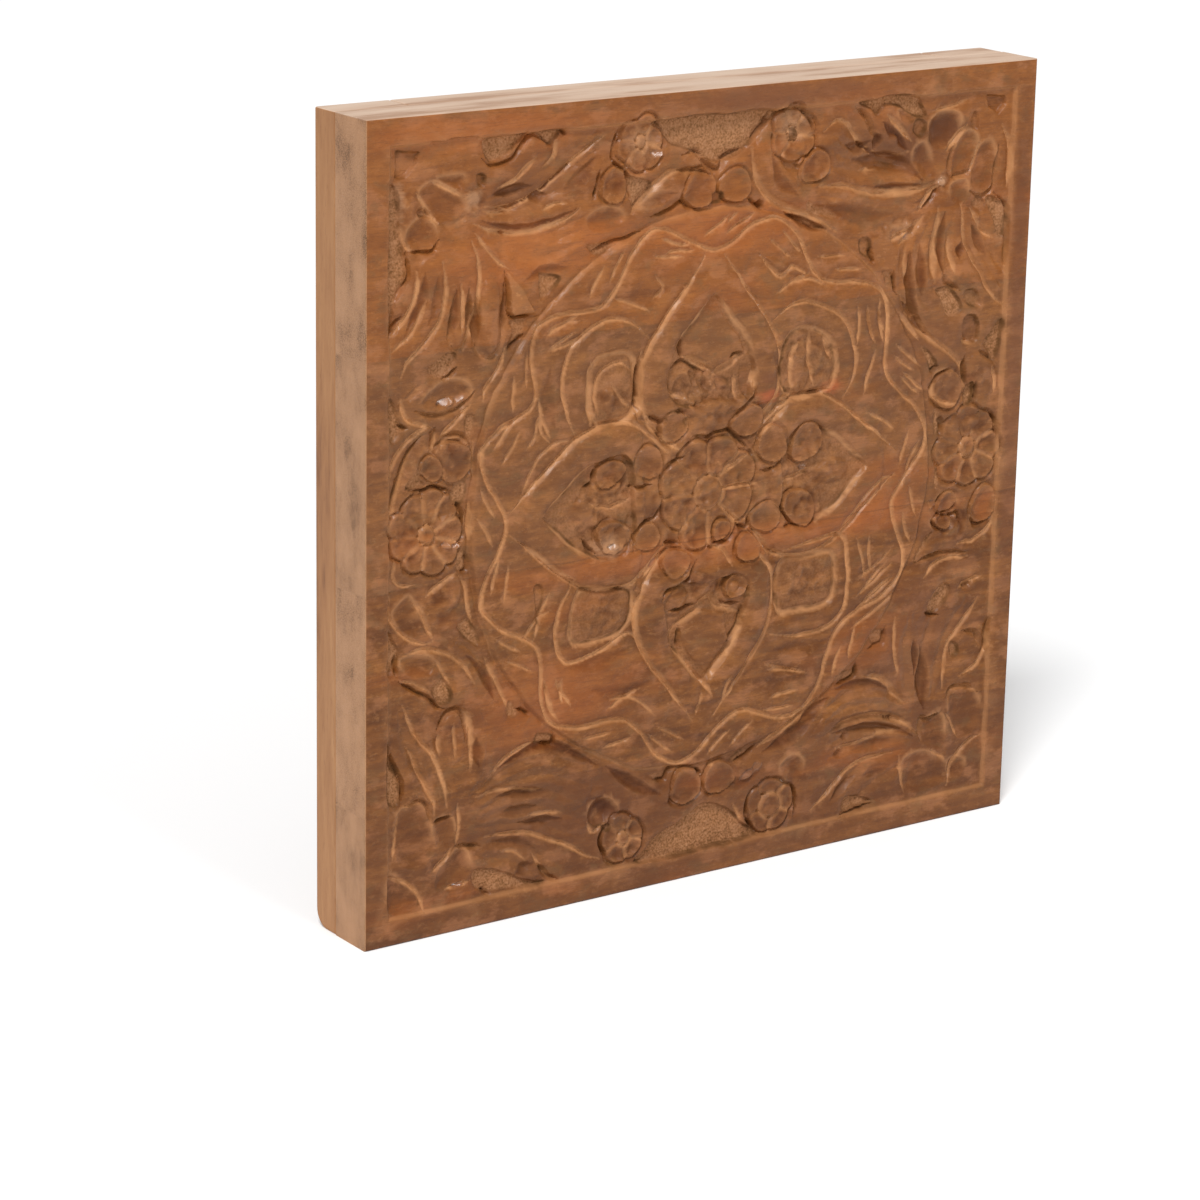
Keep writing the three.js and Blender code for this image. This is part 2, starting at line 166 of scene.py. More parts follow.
class Relief:
    """Heights and finish masks of the carved face on a square grid, in millimetres from its middle."""

    def __init__(self, half, steps):
        self.at = np.linspace(-half, half, steps)
        self.spacing = self.at[1] - self.at[0]
        self.height = np.zeros((steps, steps))
        self.masks = {name: np.zeros((steps, steps)) for name in MASKS}
        self.wander_x = 0.9 * self.noise(7, 31) + 0.35 * self.noise(2.2, 32)
        self.wander_y = 0.9 * self.noise(7, 33) + 0.35 * self.noise(2.2, 34)
        self.chips = 0.8 * self.noise(1.1, 41) + 0.6 * self.noise(2.4, 42)
        self.broken = np.clip(0.55 + 0.9 * self.noise(3.0, 43), 0, 1)

    def near(self, points, reach):
        """The part of the face within reach of some points, and the coordinates there, a little unsteady."""
        low = np.min(points, axis=0) - reach
        high = np.max(points, axis=0) + reach
        columns = slice(*np.searchsorted(self.at, (low[0], high[0])))
        rows = slice(*np.searchsorted(self.at, (low[1], high[1])))
        x, y = np.meshgrid(self.at[columns], self.at[rows])
        part = rows, columns
        return part, x + self.wander_x[part], y + self.wander_y[part]

    def mark(self, name, part, amount):
        self.masks[name][part] = np.maximum(self.masks[name][part], amount)

    def groove(self, points, kind=VEIN, closed=False):
        """Gouge stroke along a line, its edges rolled over and its open ends tapering out."""
        width, depth, worn, grime = kind
        line = smooth(points, closed)
        if closed:
            line = np.vstack([line, line[:1]])
        part, x, y = self.near(line, 3 * width)
        distance, share = to_line(x, y, line)
        size = 1 if closed else np.clip(np.minimum(share, 1 - share) / 0.22, 0.25, 1) ** 0.7
        wall = np.clip(1 - distance / (width / 2 * size), 0, 1)
        shoulder = 0.8 * hump(distance, width * 1.5) * size
        self.height[part] -= depth * size * wall + shoulder
        broken = 0.55 + 0.45 * self.broken[part]
        steadier = 0.6 + 0.4 * broken
        self.mark("vein", part, worn * ease(wall * 2.6) * np.minimum(size * 1.2, 1) * steadier)
        # Dark along the bottom of the cut: dirt and painted shade
        self.mark("grime", part, grime * hump(distance, width * 0.42) * size * broken)

    def ground(self, points, drop=GROUND_DROP, curved=True, stipple=1.0):
        """Chip cut down to a flat floor, with steep walls and dirt with painted shade at their foot."""
        loop = smooth(points, closed=True, steps=4) if curved else pairs(points)
        part, x, y = self.near(loop, 8)
        distance, _ = to_line(x, y, np.vstack([loop, loop[:1]]))
        within = np.where(inside(x, y, loop), distance, -distance)
        top = self.height[part] - 0.5 * hump(np.maximum(-within, 0), 2.2)
        fall = ease(within / GROUND_SLOPE + 0.1)
        self.height[part] = top + np.minimum(-drop - top, 0) * fall
        for mask in self.masks.values():
            mask[part] *= 1 - ease(within / GROUND_SLOPE)
        self.mark("ground", part, stipple * ease(within / GROUND_SLOPE))
        self.mark("grime", part, 0.9 * hump(within - 0.6, 1.0))

    def local(self, cx, cy, long, wide, turn, reach):
        """Coordinates along and across a turned oval, as shares of its half axes."""
        part, x, y = self.near([(cx, cy)], max(long, wide) + reach)
        u = ((x - cx) * math.cos(turn) + (y - cy) * math.sin(turn)) / long
        v = ((y - cy) * math.cos(turn) - (x - cx) * math.sin(turn)) / wide
        return part, u, v

    def clear_masks(self, part, amount):
        for mask in self.masks.values():
            mask[part] *= 1 - amount

    def cup(self, cx, cy, long, wide=None, turn=0.0, depth=CUP_DEPTH):
        """Bud hollowed by a round gouge, with a crisp rim and the wood round it cut back, painted shade in
        its bowl and dirt with painted shade round it.
        """
        wide = wide or long
        part, u, v = self.local(cx, cy, long, wide, turn, 6)
        round_about = np.arctan2(v, u)
        uneven = 1 + 0.07 * np.sin(2 * round_about + cx) + 0.05 * np.sin(3 * round_about + cy)
        q = np.hypot(u, v) * uneven
        out = (q - 1) * min(long, wide)
        around = self.height[part] - CUP_SURROUND * hump(np.maximum(out - 0.5, 0), 1.1) * (out > 0)
        lean = 1.6 * math.sin(1.7 * cx + cy) * u + 1.6 * math.cos(1.3 * cy - cx) * v
        bowl = CUP_LEVEL - depth * (1 - q**2) + np.clip(lean, -3, 0.4) * 0.5
        share = ease(0.5 - out / 0.9)
        self.height[part] = around * (1 - share) + bowl * share
        self.clear_masks(part, share)
        self.mark("worn", part, 0.6 * hump(out + 0.5, 0.9))
        # Dirt and painted shade round the rim
        self.mark("grime", part, 0.75 * hump(out - 0.8, 0.7) * self.broken[part])
        self.mark("shade", part, 0.35 * np.clip(1 - q**2, 0, 1))

    def trough(self, points, width, depth):
        """Soft gouge along a line, its bed darkened with painted shade."""
        line = smooth(points)
        part, x, y = self.near(line, width)
        distance, share = to_line(x, y, line)
        size = np.clip(np.minimum(share, 1 - share) / 0.4, 0.1, 1) ** 0.8
        bed = np.clip(1 - (distance / (width * 0.6 * size)) ** 2, 0, 1) ** 1.3
        self.height[part] -= 0.8 * depth * size * bed
        self.mark("shade", part, np.minimum(depth / 2.6, 1) * bed**0.6)

    def scoop(self, points, depth, reach):
        """Leaf hollowed inside its outline and darkened with painted shade, its rim pale as a painted
        highlight on the upper side and dark with dirt and painted shade below.
        """
        loop = smooth(points, closed=True, steps=5)
        part, x, y = self.near(loop, 3)
        distance, _ = to_line(x, y, np.vstack([loop, loop[:1]]))
        within = inside(x, y, loop)
        share = np.where(within, np.clip(distance / reach, 0, 1), 0)
        bowl = 0.5 * ease(share) + 0.5 * np.sqrt(1 - (1 - share) ** 2)
        self.clear_masks(part, ease(share * 3))
        self.height[part] -= depth * bowl
        # Painted shade in the hollow, a painted highlight on the upper rim, dirt and painted shade on the
        # lower rim
        self.mark("shade", part, SCOOP_SHADE * bowl)
        below = np.clip((loop[:, 1].mean() - y) / 5 + 0.5, 0, 1)
        self.mark("vein", part, 0.5 * hump(distance, 0.9) * (1 - below))
        self.mark("grime", part, 0.85 * hump(distance, 0.7) * below * self.broken[part])

    def slice(self, points, level, tilt=(0, 0), worn=0.55):
        """Flat facet left by one push of a chisel inside a straight outline, painted paler: wear, and a
        painted highlight on the facets that shine.
        """
        loop = pairs(points)
        part, x, y = self.near(loop, 2)
        distance, _ = to_line(x, y, np.vstack([loop, loop[:1]]))
        share = ease(np.where(inside(x, y, loop), distance, 0) / 0.9)
        cx, cy = loop.mean(axis=0)
        plane = level + (x - cx) * tilt[0] + (y - cy) * tilt[1]
        self.height[part] += (plane - self.height[part]) * share
        self.clear_masks(part, share)
        # Pale wear, and a painted highlight on the facets that shine
        self.mark("worn", part, worn * share)

    def polished_cut(self, cx, cy, long, wide, turn=0.0):
        """Small flat cut of a sharp blade, shining where it is burnished."""
        part, u, v = self.local(cx, cy, long, wide, turn, 1)
        right = long * u * math.cos(turn) - wide * v * math.sin(turn)
        up = long * u * math.sin(turn) + wide * v * math.cos(turn)
        q = np.hypot(u, v)
        level = self.height[part][q < 1].mean()
        plane = level + SHINE_SLOPE[0] * right + SHINE_SLOPE[1] * up
        share = ease((1 - q) * 3)
        self.height[part] += (plane - self.height[part]) * share
        self.clear_masks(part, share)
        self.mark("polish", part, share)

    def rough(self, cx, cy, long, wide, amount=0.7):
        """Broken wood where small cuts cross, pale with wear on the high chips and darkened with painted
        shade between them.
        """
        part, u, v = self.local(cx, cy, long, wide, 0, 2)
        window = ease((1 - np.hypot(u, v)) * 2.5)
        chips = self.chips[part]
        self.height[part] += amount * window * chips
        self.mark("worn", part, window * np.clip(chips * 0.9, 0, 0.75))
        self.mark("shade", part, window * np.clip(-chips * 1.1, 0, 0.9))

    def lump(self, cx, cy, long, wide=None, turn=0.0, top=-0.6):
        """Rounded lump standing up from a cut."""
        wide = wide or long
        part, u, v = self.local(cx, cy, long, wide, turn, 2)
        rise = np.sqrt(np.clip(1 - np.hypot(u, v) ** 3, 0, None))
        raised = np.where(rise > 0, -GROUND_DROP + (top + GROUND_DROP) * rise, -np.inf)
        self.height[part] = np.maximum(self.height[part], raised)
        self.clear_masks(part, ease(rise * 3))

    def swell(self, points, height, reach):
        """Rounds a leaf up from its outline towards its middle."""
        loop = smooth(points, closed=True, steps=5)
        part, x, y = self.near(loop, 1)
        distance, _ = to_line(x, y, np.vstack([loop, loop[:1]]))
        depth = np.where(inside(x, y, loop), np.clip(distance / reach, 0, 1), 0)
        self.height[part] += height * np.sqrt(1 - (1 - depth) ** 2)

    def flower(self, cx, cy, radius, petals, button, phase=0.0, hollow=1.7):
        """Round flower: scooped petals darkened with painted shade and parted by cuts, a raised button and a
        cut all round, dark with dirt and painted shade.
        """
        part, x, y = self.near([(cx, cy)], radius + 7)
        r = np.hypot(x - cx, y - cy)
        turn = (np.arctan2(y - cy, x - cx) * petals / (2 * math.pi) + phase) % 1
        uneven = 0.04 * np.sin(3 * np.arctan2(y - cy, x - cx) + cx)
        edge = radius * (0.87 + uneven + 0.13 * np.sin(math.pi * turn) ** 0.7)
        aside = np.abs(turn - 0.5) * 2
        along = np.clip((r - button) / (edge - button), 0, 1)
        scoop = np.sin(math.pi * along) ** 0.7 * (1 - aside**2)
        parting = r * (1 - aside) * math.pi / petals
        on_petal = (r > button) & (r < edge)
        cut = hollow * scoop + 1.5 * np.clip(1 - parting / 1.6, 0, 1)
        rays = 0.65 + 0.35 * np.cos(np.arctan2(y - cy, x - cx) + 0.3)
        self.height[part] -= np.where(on_petal, cut, 0)
        self.height[part] -= 1.5 * np.clip(1 - np.abs(r - button) / 1.7, 0, 1)
        self.height[part] -= 0.7 * np.clip(1 - (r / (button * 0.75)) ** 2, 0, 1)
        beyond = r - edge
        self.height[part] -= 1.9 * np.clip(1 - np.abs(beyond - 1.2) / 1.5, 0, 1)
        self.mark("vein", part, np.where(on_petal, 0.6 * ease(1.5 - parting / 1.1) * rays, 0))
        self.mark("vein", part, 0.5 * hump(r - button, 1.2))
        self.mark("shade", part, np.where(on_petal, 0.4 * scoop, 0))
        self.mark("worn", part, 0.5 * hump(beyond + 0.6, 0.9))
        self.mark("grime", part, 0.65 * hump(beyond - 1.2, 0.8) * self.broken[part])

    def blurred(self, field, radius):
        """A field on the grid, softened over a radius in millimetres."""
        across = np.fft.fftfreq(len(self.at), self.spacing)[:, None]
        up = np.fft.rfftfreq(len(self.at), self.spacing)[None, :]
        fall = np.exp(-2 * (math.pi * radius) ** 2 * (across**2 + up**2))
        return np.fft.irfft2(np.fft.rfft2(field) * fall, field.shape)

    def noise(self, radius, seed):
        """Even random bumps of about that radius in millimetres, as high as 1."""
        rough = np.random.default_rng(seed).standard_normal(self.height.shape)
        soft = self.blurred(rough, radius)
        return soft / (2.2 * soft.std())

    def read(self, field, x, y):
        """A field's values between the grid's points."""
        last = len(self.at) - 1
        column = np.clip((x - self.at[0]) / self.spacing, 0, last - 1e-6)
        row = np.clip((y - self.at[0]) / self.spacing, 0, last - 1e-6)
        i, j = column.astype(int), row.astype(int)
        s, t = column - i, row - j
        lower = field[j, i] * (1 - s) + field[j, i + 1] * s
        upper = field[j + 1, i] * (1 - s) + field[j + 1, i + 1] * s
        return lower * (1 - t) + upper * t


relief = Relief(DRAWN_HALF, GRID_STEPS)


def strokes(kind, *lines):
    """Several gouge strokes of one kind."""
    for line in lines:
        relief.groove(line, kind)


def fan(kind, count, first, last):
    """Strokes laid side by side from one guide line to another."""
    for share in np.linspace(0, 1, count):
        relief.groove(pairs(first) * (1 - share) + pairs(last) * share, kind)


def floors(drop, stipple, *loops):
    """Several sunk grounds of one depth."""
    for loop in loops:
        relief.ground(loop, drop, stipple=stipple)


def scoops(depth, reach, *loops):
    for loop in loops:
        relief.scoop(loop, depth, reach)


def troughs(width, depth, *lines):
    for line in lines:
        relief.trough(line, width, depth)


def sink_field():
    """The border stays proud, its outer edge a little rounded, and the field inside it is sunk."""
    x, y = np.meshgrid(relief.at, relief.at)
    from_edge = DRAWN_HALF - np.maximum(np.abs(x), np.abs(y))
    relief.height -= FIELD_DROP * ease((from_edge - BORDER_WIDTH) / FIELD_SLOPE)
    relief.height -= 0.9 * np.clip(1 - from_edge / EDGE_ROUND, 0, 1) ** 2
    relief.mark("vein", slice(None), 0.45 * hump(from_edge - BORDER_WIDTH - 0.9, 0.9))


def polar(degrees, radius):
    """A point by its angle clockwise from straight up."""
    angle = math.radians(degrees)
    return radius * math.sin(angle), radius * math.cos(angle)


def quarter(k, points):
    """Turns design points, drawn for the top, to one of the four quarter directions."""
    turns = (lambda u, v: (u, v), lambda u, v: (v, -u), lambda u, v: (-u, -v), lambda u, v: (-v, u))
    return [turns[k](u, v) for u, v in points]


def carve_wave():
    """Wavy line round the medallion, with short nicks beside each crest and trough."""
    crests = (16.3, 50.6, 84.4, 115.9, 153.2, 186.7, 221.2, 253.7, 285, 311.7, 344.2)
    line = []
    for crest, following in zip(crests, crests[1:] + (crests[0] + 360,)):
        for share in (0, 1 / 6, 2 / 6, 3 / 6, 4 / 6, 5 / 6):
            radius = WAVE_MIDDLE + WAVE_SWING * math.cos(2 * math.pi * share)
            line.append(polar(crest + (following - crest) * share, radius))
        trough = (crest + following) / 2
        nicks = (
            (crest - 1.5, 127.5, crest + 6.5, 121),
            (crest + 1.5, 133.5, crest + 9, 125.5),
            (trough - 3.5, 128.5, trough + 3, 137),
            (trough + 2.5, 128, trough + 8.5, 137),
        )
        for start, start_radius, end, end_radius in nicks:
            a, b = polar(start, start_radius), polar(end, end_radius)
            middle = polar((start + end) / 2, (start_radius + end_radius) / 2 - 0.6)
            relief.groove([a, middle, b], FINE)
    relief.groove(line, VEIN, closed=True)


def carve_medallion_edge():
    """The medallion's rim stands above the leaves round it, with a worn line along most of it and dirt with
    painted shade at its foot beside the rosettes.
    """
    part, x, y = relief.near([(0, 0)], MEDALLION_RADIUS + 12)
    out = np.hypot(x, y) - MEDALLION_RADIUS
    beside_rosettes = ease((60 - np.abs(y)) / 20)
    relief.height[part] -= 1.3 * ease((out + 1) / 2) * hump(np.maximum(out, 0), 8)
    relief.height[part] -= 0.9 * np.clip(1 - np.abs(out - 0.2) / 1.8, 0, 1)
    broken = np.clip(0.5 + 0.9 * relief.noise(9, 51)[part], 0, 1)
    relief.mark("vein", part, 0.48 * hump(out - 0.2, 1.1) * (1 - beside_rosettes) * broken)
    # Dirt and painted shade at the rim's foot beside the rosettes
    relief.mark("grime", part, 0.5 * hump(out - 1.2, 0.9) * beside_rosettes)


def carve_petal(k):
    """Ogee petal: double outline, a convex band and a sunk heart."""
    outer = [(6, 118), (13, 109), (21, 99), (31, 87), (38, 77), (42, 65), (42, 53), (37, 41), (23, 25)]
    heart = [(0, 99), (9, 89), (18, 79), (25, 66), (26, 52), (15, 45), (0, 46)]
    for side in (-1, 1):
        relief.groove(quarter(k, [(side * u, v) for u, v in outer]), VEIN)
        edge = [(side * u, v) for u, v in heart[:4]]
        relief.groove(quarter(k, edge), HEART_EDGE)
    band = outer[1:-1] + [(-u, v) for u, v in outer[-2:0:-1]]
    relief.swell(quarter(k, band), 1.5, 7)
    loop = heart + [(-u, v) for u, v in heart[-2:0:-1]]
    relief.ground(quarter(k, loop), drop=3.9, stipple=0.3)


def carve_petal_insides():
    """What stands in the four hearts differs from one to the next."""
    carve_upper_heart()
    carve_lower_heart()
    for x, y in ((-61, 17), (-57, -17), (60, 19), (58, -16)):
        relief.lump(x, y, 12, top=-1.6)
    relief.cup(60, 18, 9.5)
    relief.cup(57, -16, 10.5, 9.5)
    relief.cup(-60, 17, 9, 6.8)
    relief.cup(-58, -15, 9, 8.4)
    relief.slice((-66, -16, -50, -15.5, -51, -22, -57, -25, -64, -23), -2.4, (0.05, -0.2), 0.8)
    relief.lump(-75, 0, 9, 6, top=-3.2)
    relief.lump(78, 0, 11, 7, top=-2.6)
    relief.groove([(-72, 3), (-60, 0), (-48, 3)], VEIN)
    relief.groove([(45, -2), (56, 1), (68, 4)], VEIN)


def carve_upper_heart():
    """A smooth pointed plate over broken wood, with two upright cuts to the right."""
    plate = (0, 97, 9, 86, 17, 77, 21, 68, 10, 63.5, 1, 60.5, -8, 65.5, -16, 69.5, -17, 78, -8, 89)
    relief.slice(plate, -3.1, (0.02, -0.03), 0.1)
    relief.lump(-29, 45, 7, 5.5, 0.3, top=-1.9)
    relief.lump(-8, 43, 6, 7, 0.2, top=-2.1)
    relief.lump(5, 41, 5, 7, -0.3, top=-2.3)
    relief.rough(-11, 55, 17, 10, 1.5)
    floors(5.2, 0.0, (4, 58, 12, 55.5, 10, 50, 4, 51), (18, 61, 24, 61, 25, 47, 20, 46))
    strokes(RIDGE, (-16, 70, -8.6, 66, -1, 61.5), (2, 58.5, 10, 62, 20, 66.5))
    strokes(
        VEIN,
        (-24, 67, -26.5, 58, -24, 53, -17, 50),
        (15, 58, 15.5, 52, 15, 46),
        (27, 60, 26.5, 54, 27, 48),
    )
    strokes(
        CREASE,
        (-24, 64, -20, 66.5, -16, 67.5, -9, 63, -3, 60),
        (12, 66.5, 16, 67.5, 21, 67.5),
        (28, 52, 26.5, 45.5, 21, 42, 14, 40),
        (-17, 80, -18, 74, -17, 69),
    )


def carve_lower_heart():
    """A pointed star over a smooth leaf, a hollow ring to the right and a bud to the left."""
    relief.lump(0, -46, 9, 11, top=-1.6)
    relief.lump(-19, -53, 9.5, top=-1.8)
    relief.lump(19, -52, 9, top=-1.8)
    relief.slice((-17, -66, -2, -61, 12, -65, 15, -78, 2, -94, -12, -80), -2.7, (0.02, 0.02), 0.1)
    relief.cup(18, -52, 6.5, depth=3)
    relief.lump(18, -52, 3.4, top=-2.6)
    strokes(RIDGE, (-18, -66.5, -9, -63.5, -3, -60, 2, -51), (2, -51, 7, -60, 13, -63, 21, -66.5))
    strokes(
        VEIN,
        (-13, -82, -6, -91, 1, -99, 5, -107),
        (14, -84, 7, -92, 3, -98),
        (-19, -66, -22, -73, -15, -82),
    )
    strokes(FINE, (-1, -103, -2, -109, -4, -115), (16, -97, 13, -104, 12, -110))
    strokes(
        CREASE,
        (-28.5, -52, -25, -47, -17, -46, -10, -42, -7, -34),
        (-23, -58.5, -14, -58.5, -4, -58),
        (-16, -68, -16, -74, -14.5, -79),
        (9, -57, 14, -61, 22, -62),
        (24, -64, 22, -72, 14, -80),
    )


def carve_middle():
    """Rosette in the middle, the buds round it and the cuts between them."""
    relief.rough(0, 46, 27, 12, 1.1)
    relief.rough(0, -48, 22, 9, 0.6)
    for side in (-1, 1):
        relief.rough(side * 62, 0, 24, 31, 0.9)
    for x, y, long in (
        (23, 33, 9), (39, 19, 9.5), (36, -18, 8.5), (25, -32, 7.5),
        (-37, 20, 8.5), (-37, -18, 7.5), (-19, -34, 8), (-22, 36, 8),
    ):
        relief.cup(x, y, long, long * 0.92)
    relief.flower(0, 0, ROSETTE_RADIUS, 8, 8.5)
    relief.cup(9, -21, 5.5)
    relief.rough(0, 0, 52, 46, 0.35)
    strokes(
        VEIN,
        (-42.5, 75, -42.5, 58, -42.5, 41),
        (28, 21.4, 34.3, 28, 40.7, 33, 48, 39.6),
        (26.8, -21.4, 32, -26.8, 38.6, -35.4, 48, -39.6),
        (4.3, -29, 10.7, -32, 16, -40.7),
        (-38.6, -38.6, -32, -32, -24.6, -26.8),
        (45, -47, 45.5, -58, 46, -67.5),
        (-39.6, 40.7, -30, 32, -18, 23.6),
        (8, 0, 18, 0, 30, 0),
        (10, 8, 17, 12, 25, 16),
        (10, -10, 15, -14, 20, -19),
    )
    strokes(
        CREASE,
        (-12.9, 26.8, -10.7, 29.5, -1, 28.4, 4.3, 30, 11.8, 30.5, 18, 24.6, 24.6, 19.3, 27.3, 16.6),
        (32, 6.4, 38.6, 6.4, 48, 10.7),
        (-29, 11.8, -21.4, 18, -15, 20.4),
        (-75, 11.8, -70.7, 12.9, -68.6, 21.4),
        (-49.3, 9.6, -42, 8, -34.3, 8.6),
        (-46, -23.6, -44, -12.9, -38.6, -9.6, -32, -8, -27.9, 0),
        (-75, -14, -71.8, -19.3, -67.5, -22.5),
        (1, -29, 8.6, -27.9, 14, -27.9),
        (18, -19.3, 24.6, -22.5, 25.7, -18),
        (46, -24.6, 52.5, -25.7),
        (-37.5, 43, -31, 39.6, -27, 38),
        (-26.8, -23, -18, -23.6),
    )
    for x, y in ((-20, 44), (-15, 38), (-28, 39)):
        relief.ground((x - 2, y, x, y + 2, x + 2, y, x, y - 2), 3.6, stipple=0)


def carve_arches():
    """Nested arches in the four sectors between the petals, each cut a little differently."""
    arches = (
        [(37, 81), (48, 88), (62, 88), (79, 81), (89, 64), (90, 50), (83, 38)],
        [(40, -39), (60, -36), (84, -34), (90, -48), (91, -62), (86, -78), (62, -84), (41, -79)],
        [(-80, -33), (-88, -45), (-90, -60), (-84, -74), (-66, -73), (-46, -66), (-39, -76)],
        [(-80, 36), (-86, 50), (-88, 66), (-82, 83), (-66, 93), (-50, 91), (-38, 81)],
    )
    rooms = (
        [(46, 45), (45, 64), (52, 74), (65, 74), (75, 66), (78, 52), (72, 43)],
        [(47, -45), (62, -44), (80, -44), (83, -58), (78, -70), (58, -71), (47, -68)],
        [(-46, -44), (-62, -41), (-76, -40), (-82, -55), (-78, -66), (-58, -66), (-46, -60)],
        [(-46, 45), (-45, 62), (-48, 74), (-58, 77), (-70, 73), (-71, 58), (-68, 44)],
    )
    for arch, room, (sx, sy) in zip(arches, rooms, ((1, 1), (1, -1), (-1, -1), (-1, 1))):
        relief.groove(arch, VEIN)
        relief.ground(room, drop=3.2, stipple=0.25)
        relief.groove(room, ROOM_EDGE, closed=True)
        for u, v in ((1, 0), (0, 1)):
            long_line = [(95, 38), (100, 50), (103, 60)]
            relief.groove([(sx * (u * a + v * b), sy * (u * b + v * a)) for a, b in long_line], FINE)
    strokes(
        VEIN,
        (-67, 46, -68, 60, -64, 69, -54, 71, -47, 66),
        (50, 45, 50, 60, 55, 68),
        (62, 74, 61, 60, 64, 46),
        (70, 70, 75, 58),
        (42, 42, 58, 41, 76, 43),
    )
    strokes(
        FINE,
        (-60, 62, -53, 53, -46, 48),
        (90, 84, 92, 74, 91, 64),
        (97, 80, 100, 70, 103, 63),
        (105, 86, 106, 76, 110, 68),
        (-97, 82, -86, 84, -76, 88), (-98, 89, -88, 93.5, -78, 95),
        (-95, -82, -93, -95, -88, -104), (-86, -82, -86, -95),
    )
    fan(FINE, 4, (98, -60, 108, -54, 118, -46), (94, -86, 108, -79, 122, -70))
    troughs(
        8, 1.5,
        (-96, 74, -98, 60, -93, 44),
        (-84, -77, -66, -78, -46, -73),
        (44, -88, 62, -91, 80, -88),
    )
    troughs(
        9, 1.3,
        (-70, -92, -52, -96, -34, -92),
        (30, -104, 44, -108, 60, -106),
        (-60, 103, -40, 101, -28, 106),
    )
    relief.lump(-61, 53, 4.5, 7, 0.2, top=-2.2)
    relief.rough(58, 58, 27, 25, 0.9)
    relief.rough(-60, 56, 20, 18, 0.4)
    relief.rough(62, -56, 18, 12, 0.8)
    relief.rough(-62, -54, 16, 12, 0.8)
    relief.groove([(-43, 44), (-42.5, 58), (-42, 72)], INNER_POST)
    relief.groove([(-72, 43), (-73, 58), (-72, 74)], OUTER_POST)
    relief.groove([(-101, 52), (-100, 42), (-95, 36)], FINE)
    relief.groove([(-101, 52), (-104, 40), (-110, 34)], FINE)
    relief.ground([(-104, -34), (-98, -34), (-99, -45), (-101, -53)], drop=4, stipple=0.2)
    relief.swell([(30, 113), (42, 105), (58, 102), (47, 108)], 1.0, 3)
    relief.groove([(27, 115), (34, 107), (41, 103), (48, 107), (59, 102)], VEIN)
    for line in (
        [(-58, -99), (-44, -99), (-37, -103), (-30, -111)],
        [(40, -99), (52, -101), (66, -104)],
        [(-95, -47), (-104, -52), (-110, -60)],
        [(-36, 112), (-31, 106), (-36, 101)],
        [(70, 96), (58, 100), (48, 98)],
        [(-112, 12), (-103, 28), (-92, 35), (-82, 36)],
        [(98, 28), (110, 22), (117, 16)],
        [(-113, -10), (-100, -18), (-88, -28), (-80, -33)],
        [(82, -32), (95, -20), (108, -9), (119, -7)],
        [(103, -37), (104, -46), (107, -56)],
    ):
        relief.groove(line, FINE)


def corner_arc(sx, sy, kind):
    """Quarter round cut across the very corner of the field."""
    angles = np.linspace(0.05, math.pi / 2 - 0.05, 6)
    reach = np.column_stack([np.cos(angles), np.sin(angles)])
    relief.groove((FIELD_HALF - CORNER_POCKET_RADIUS * reach) * (sx, sy), kind)


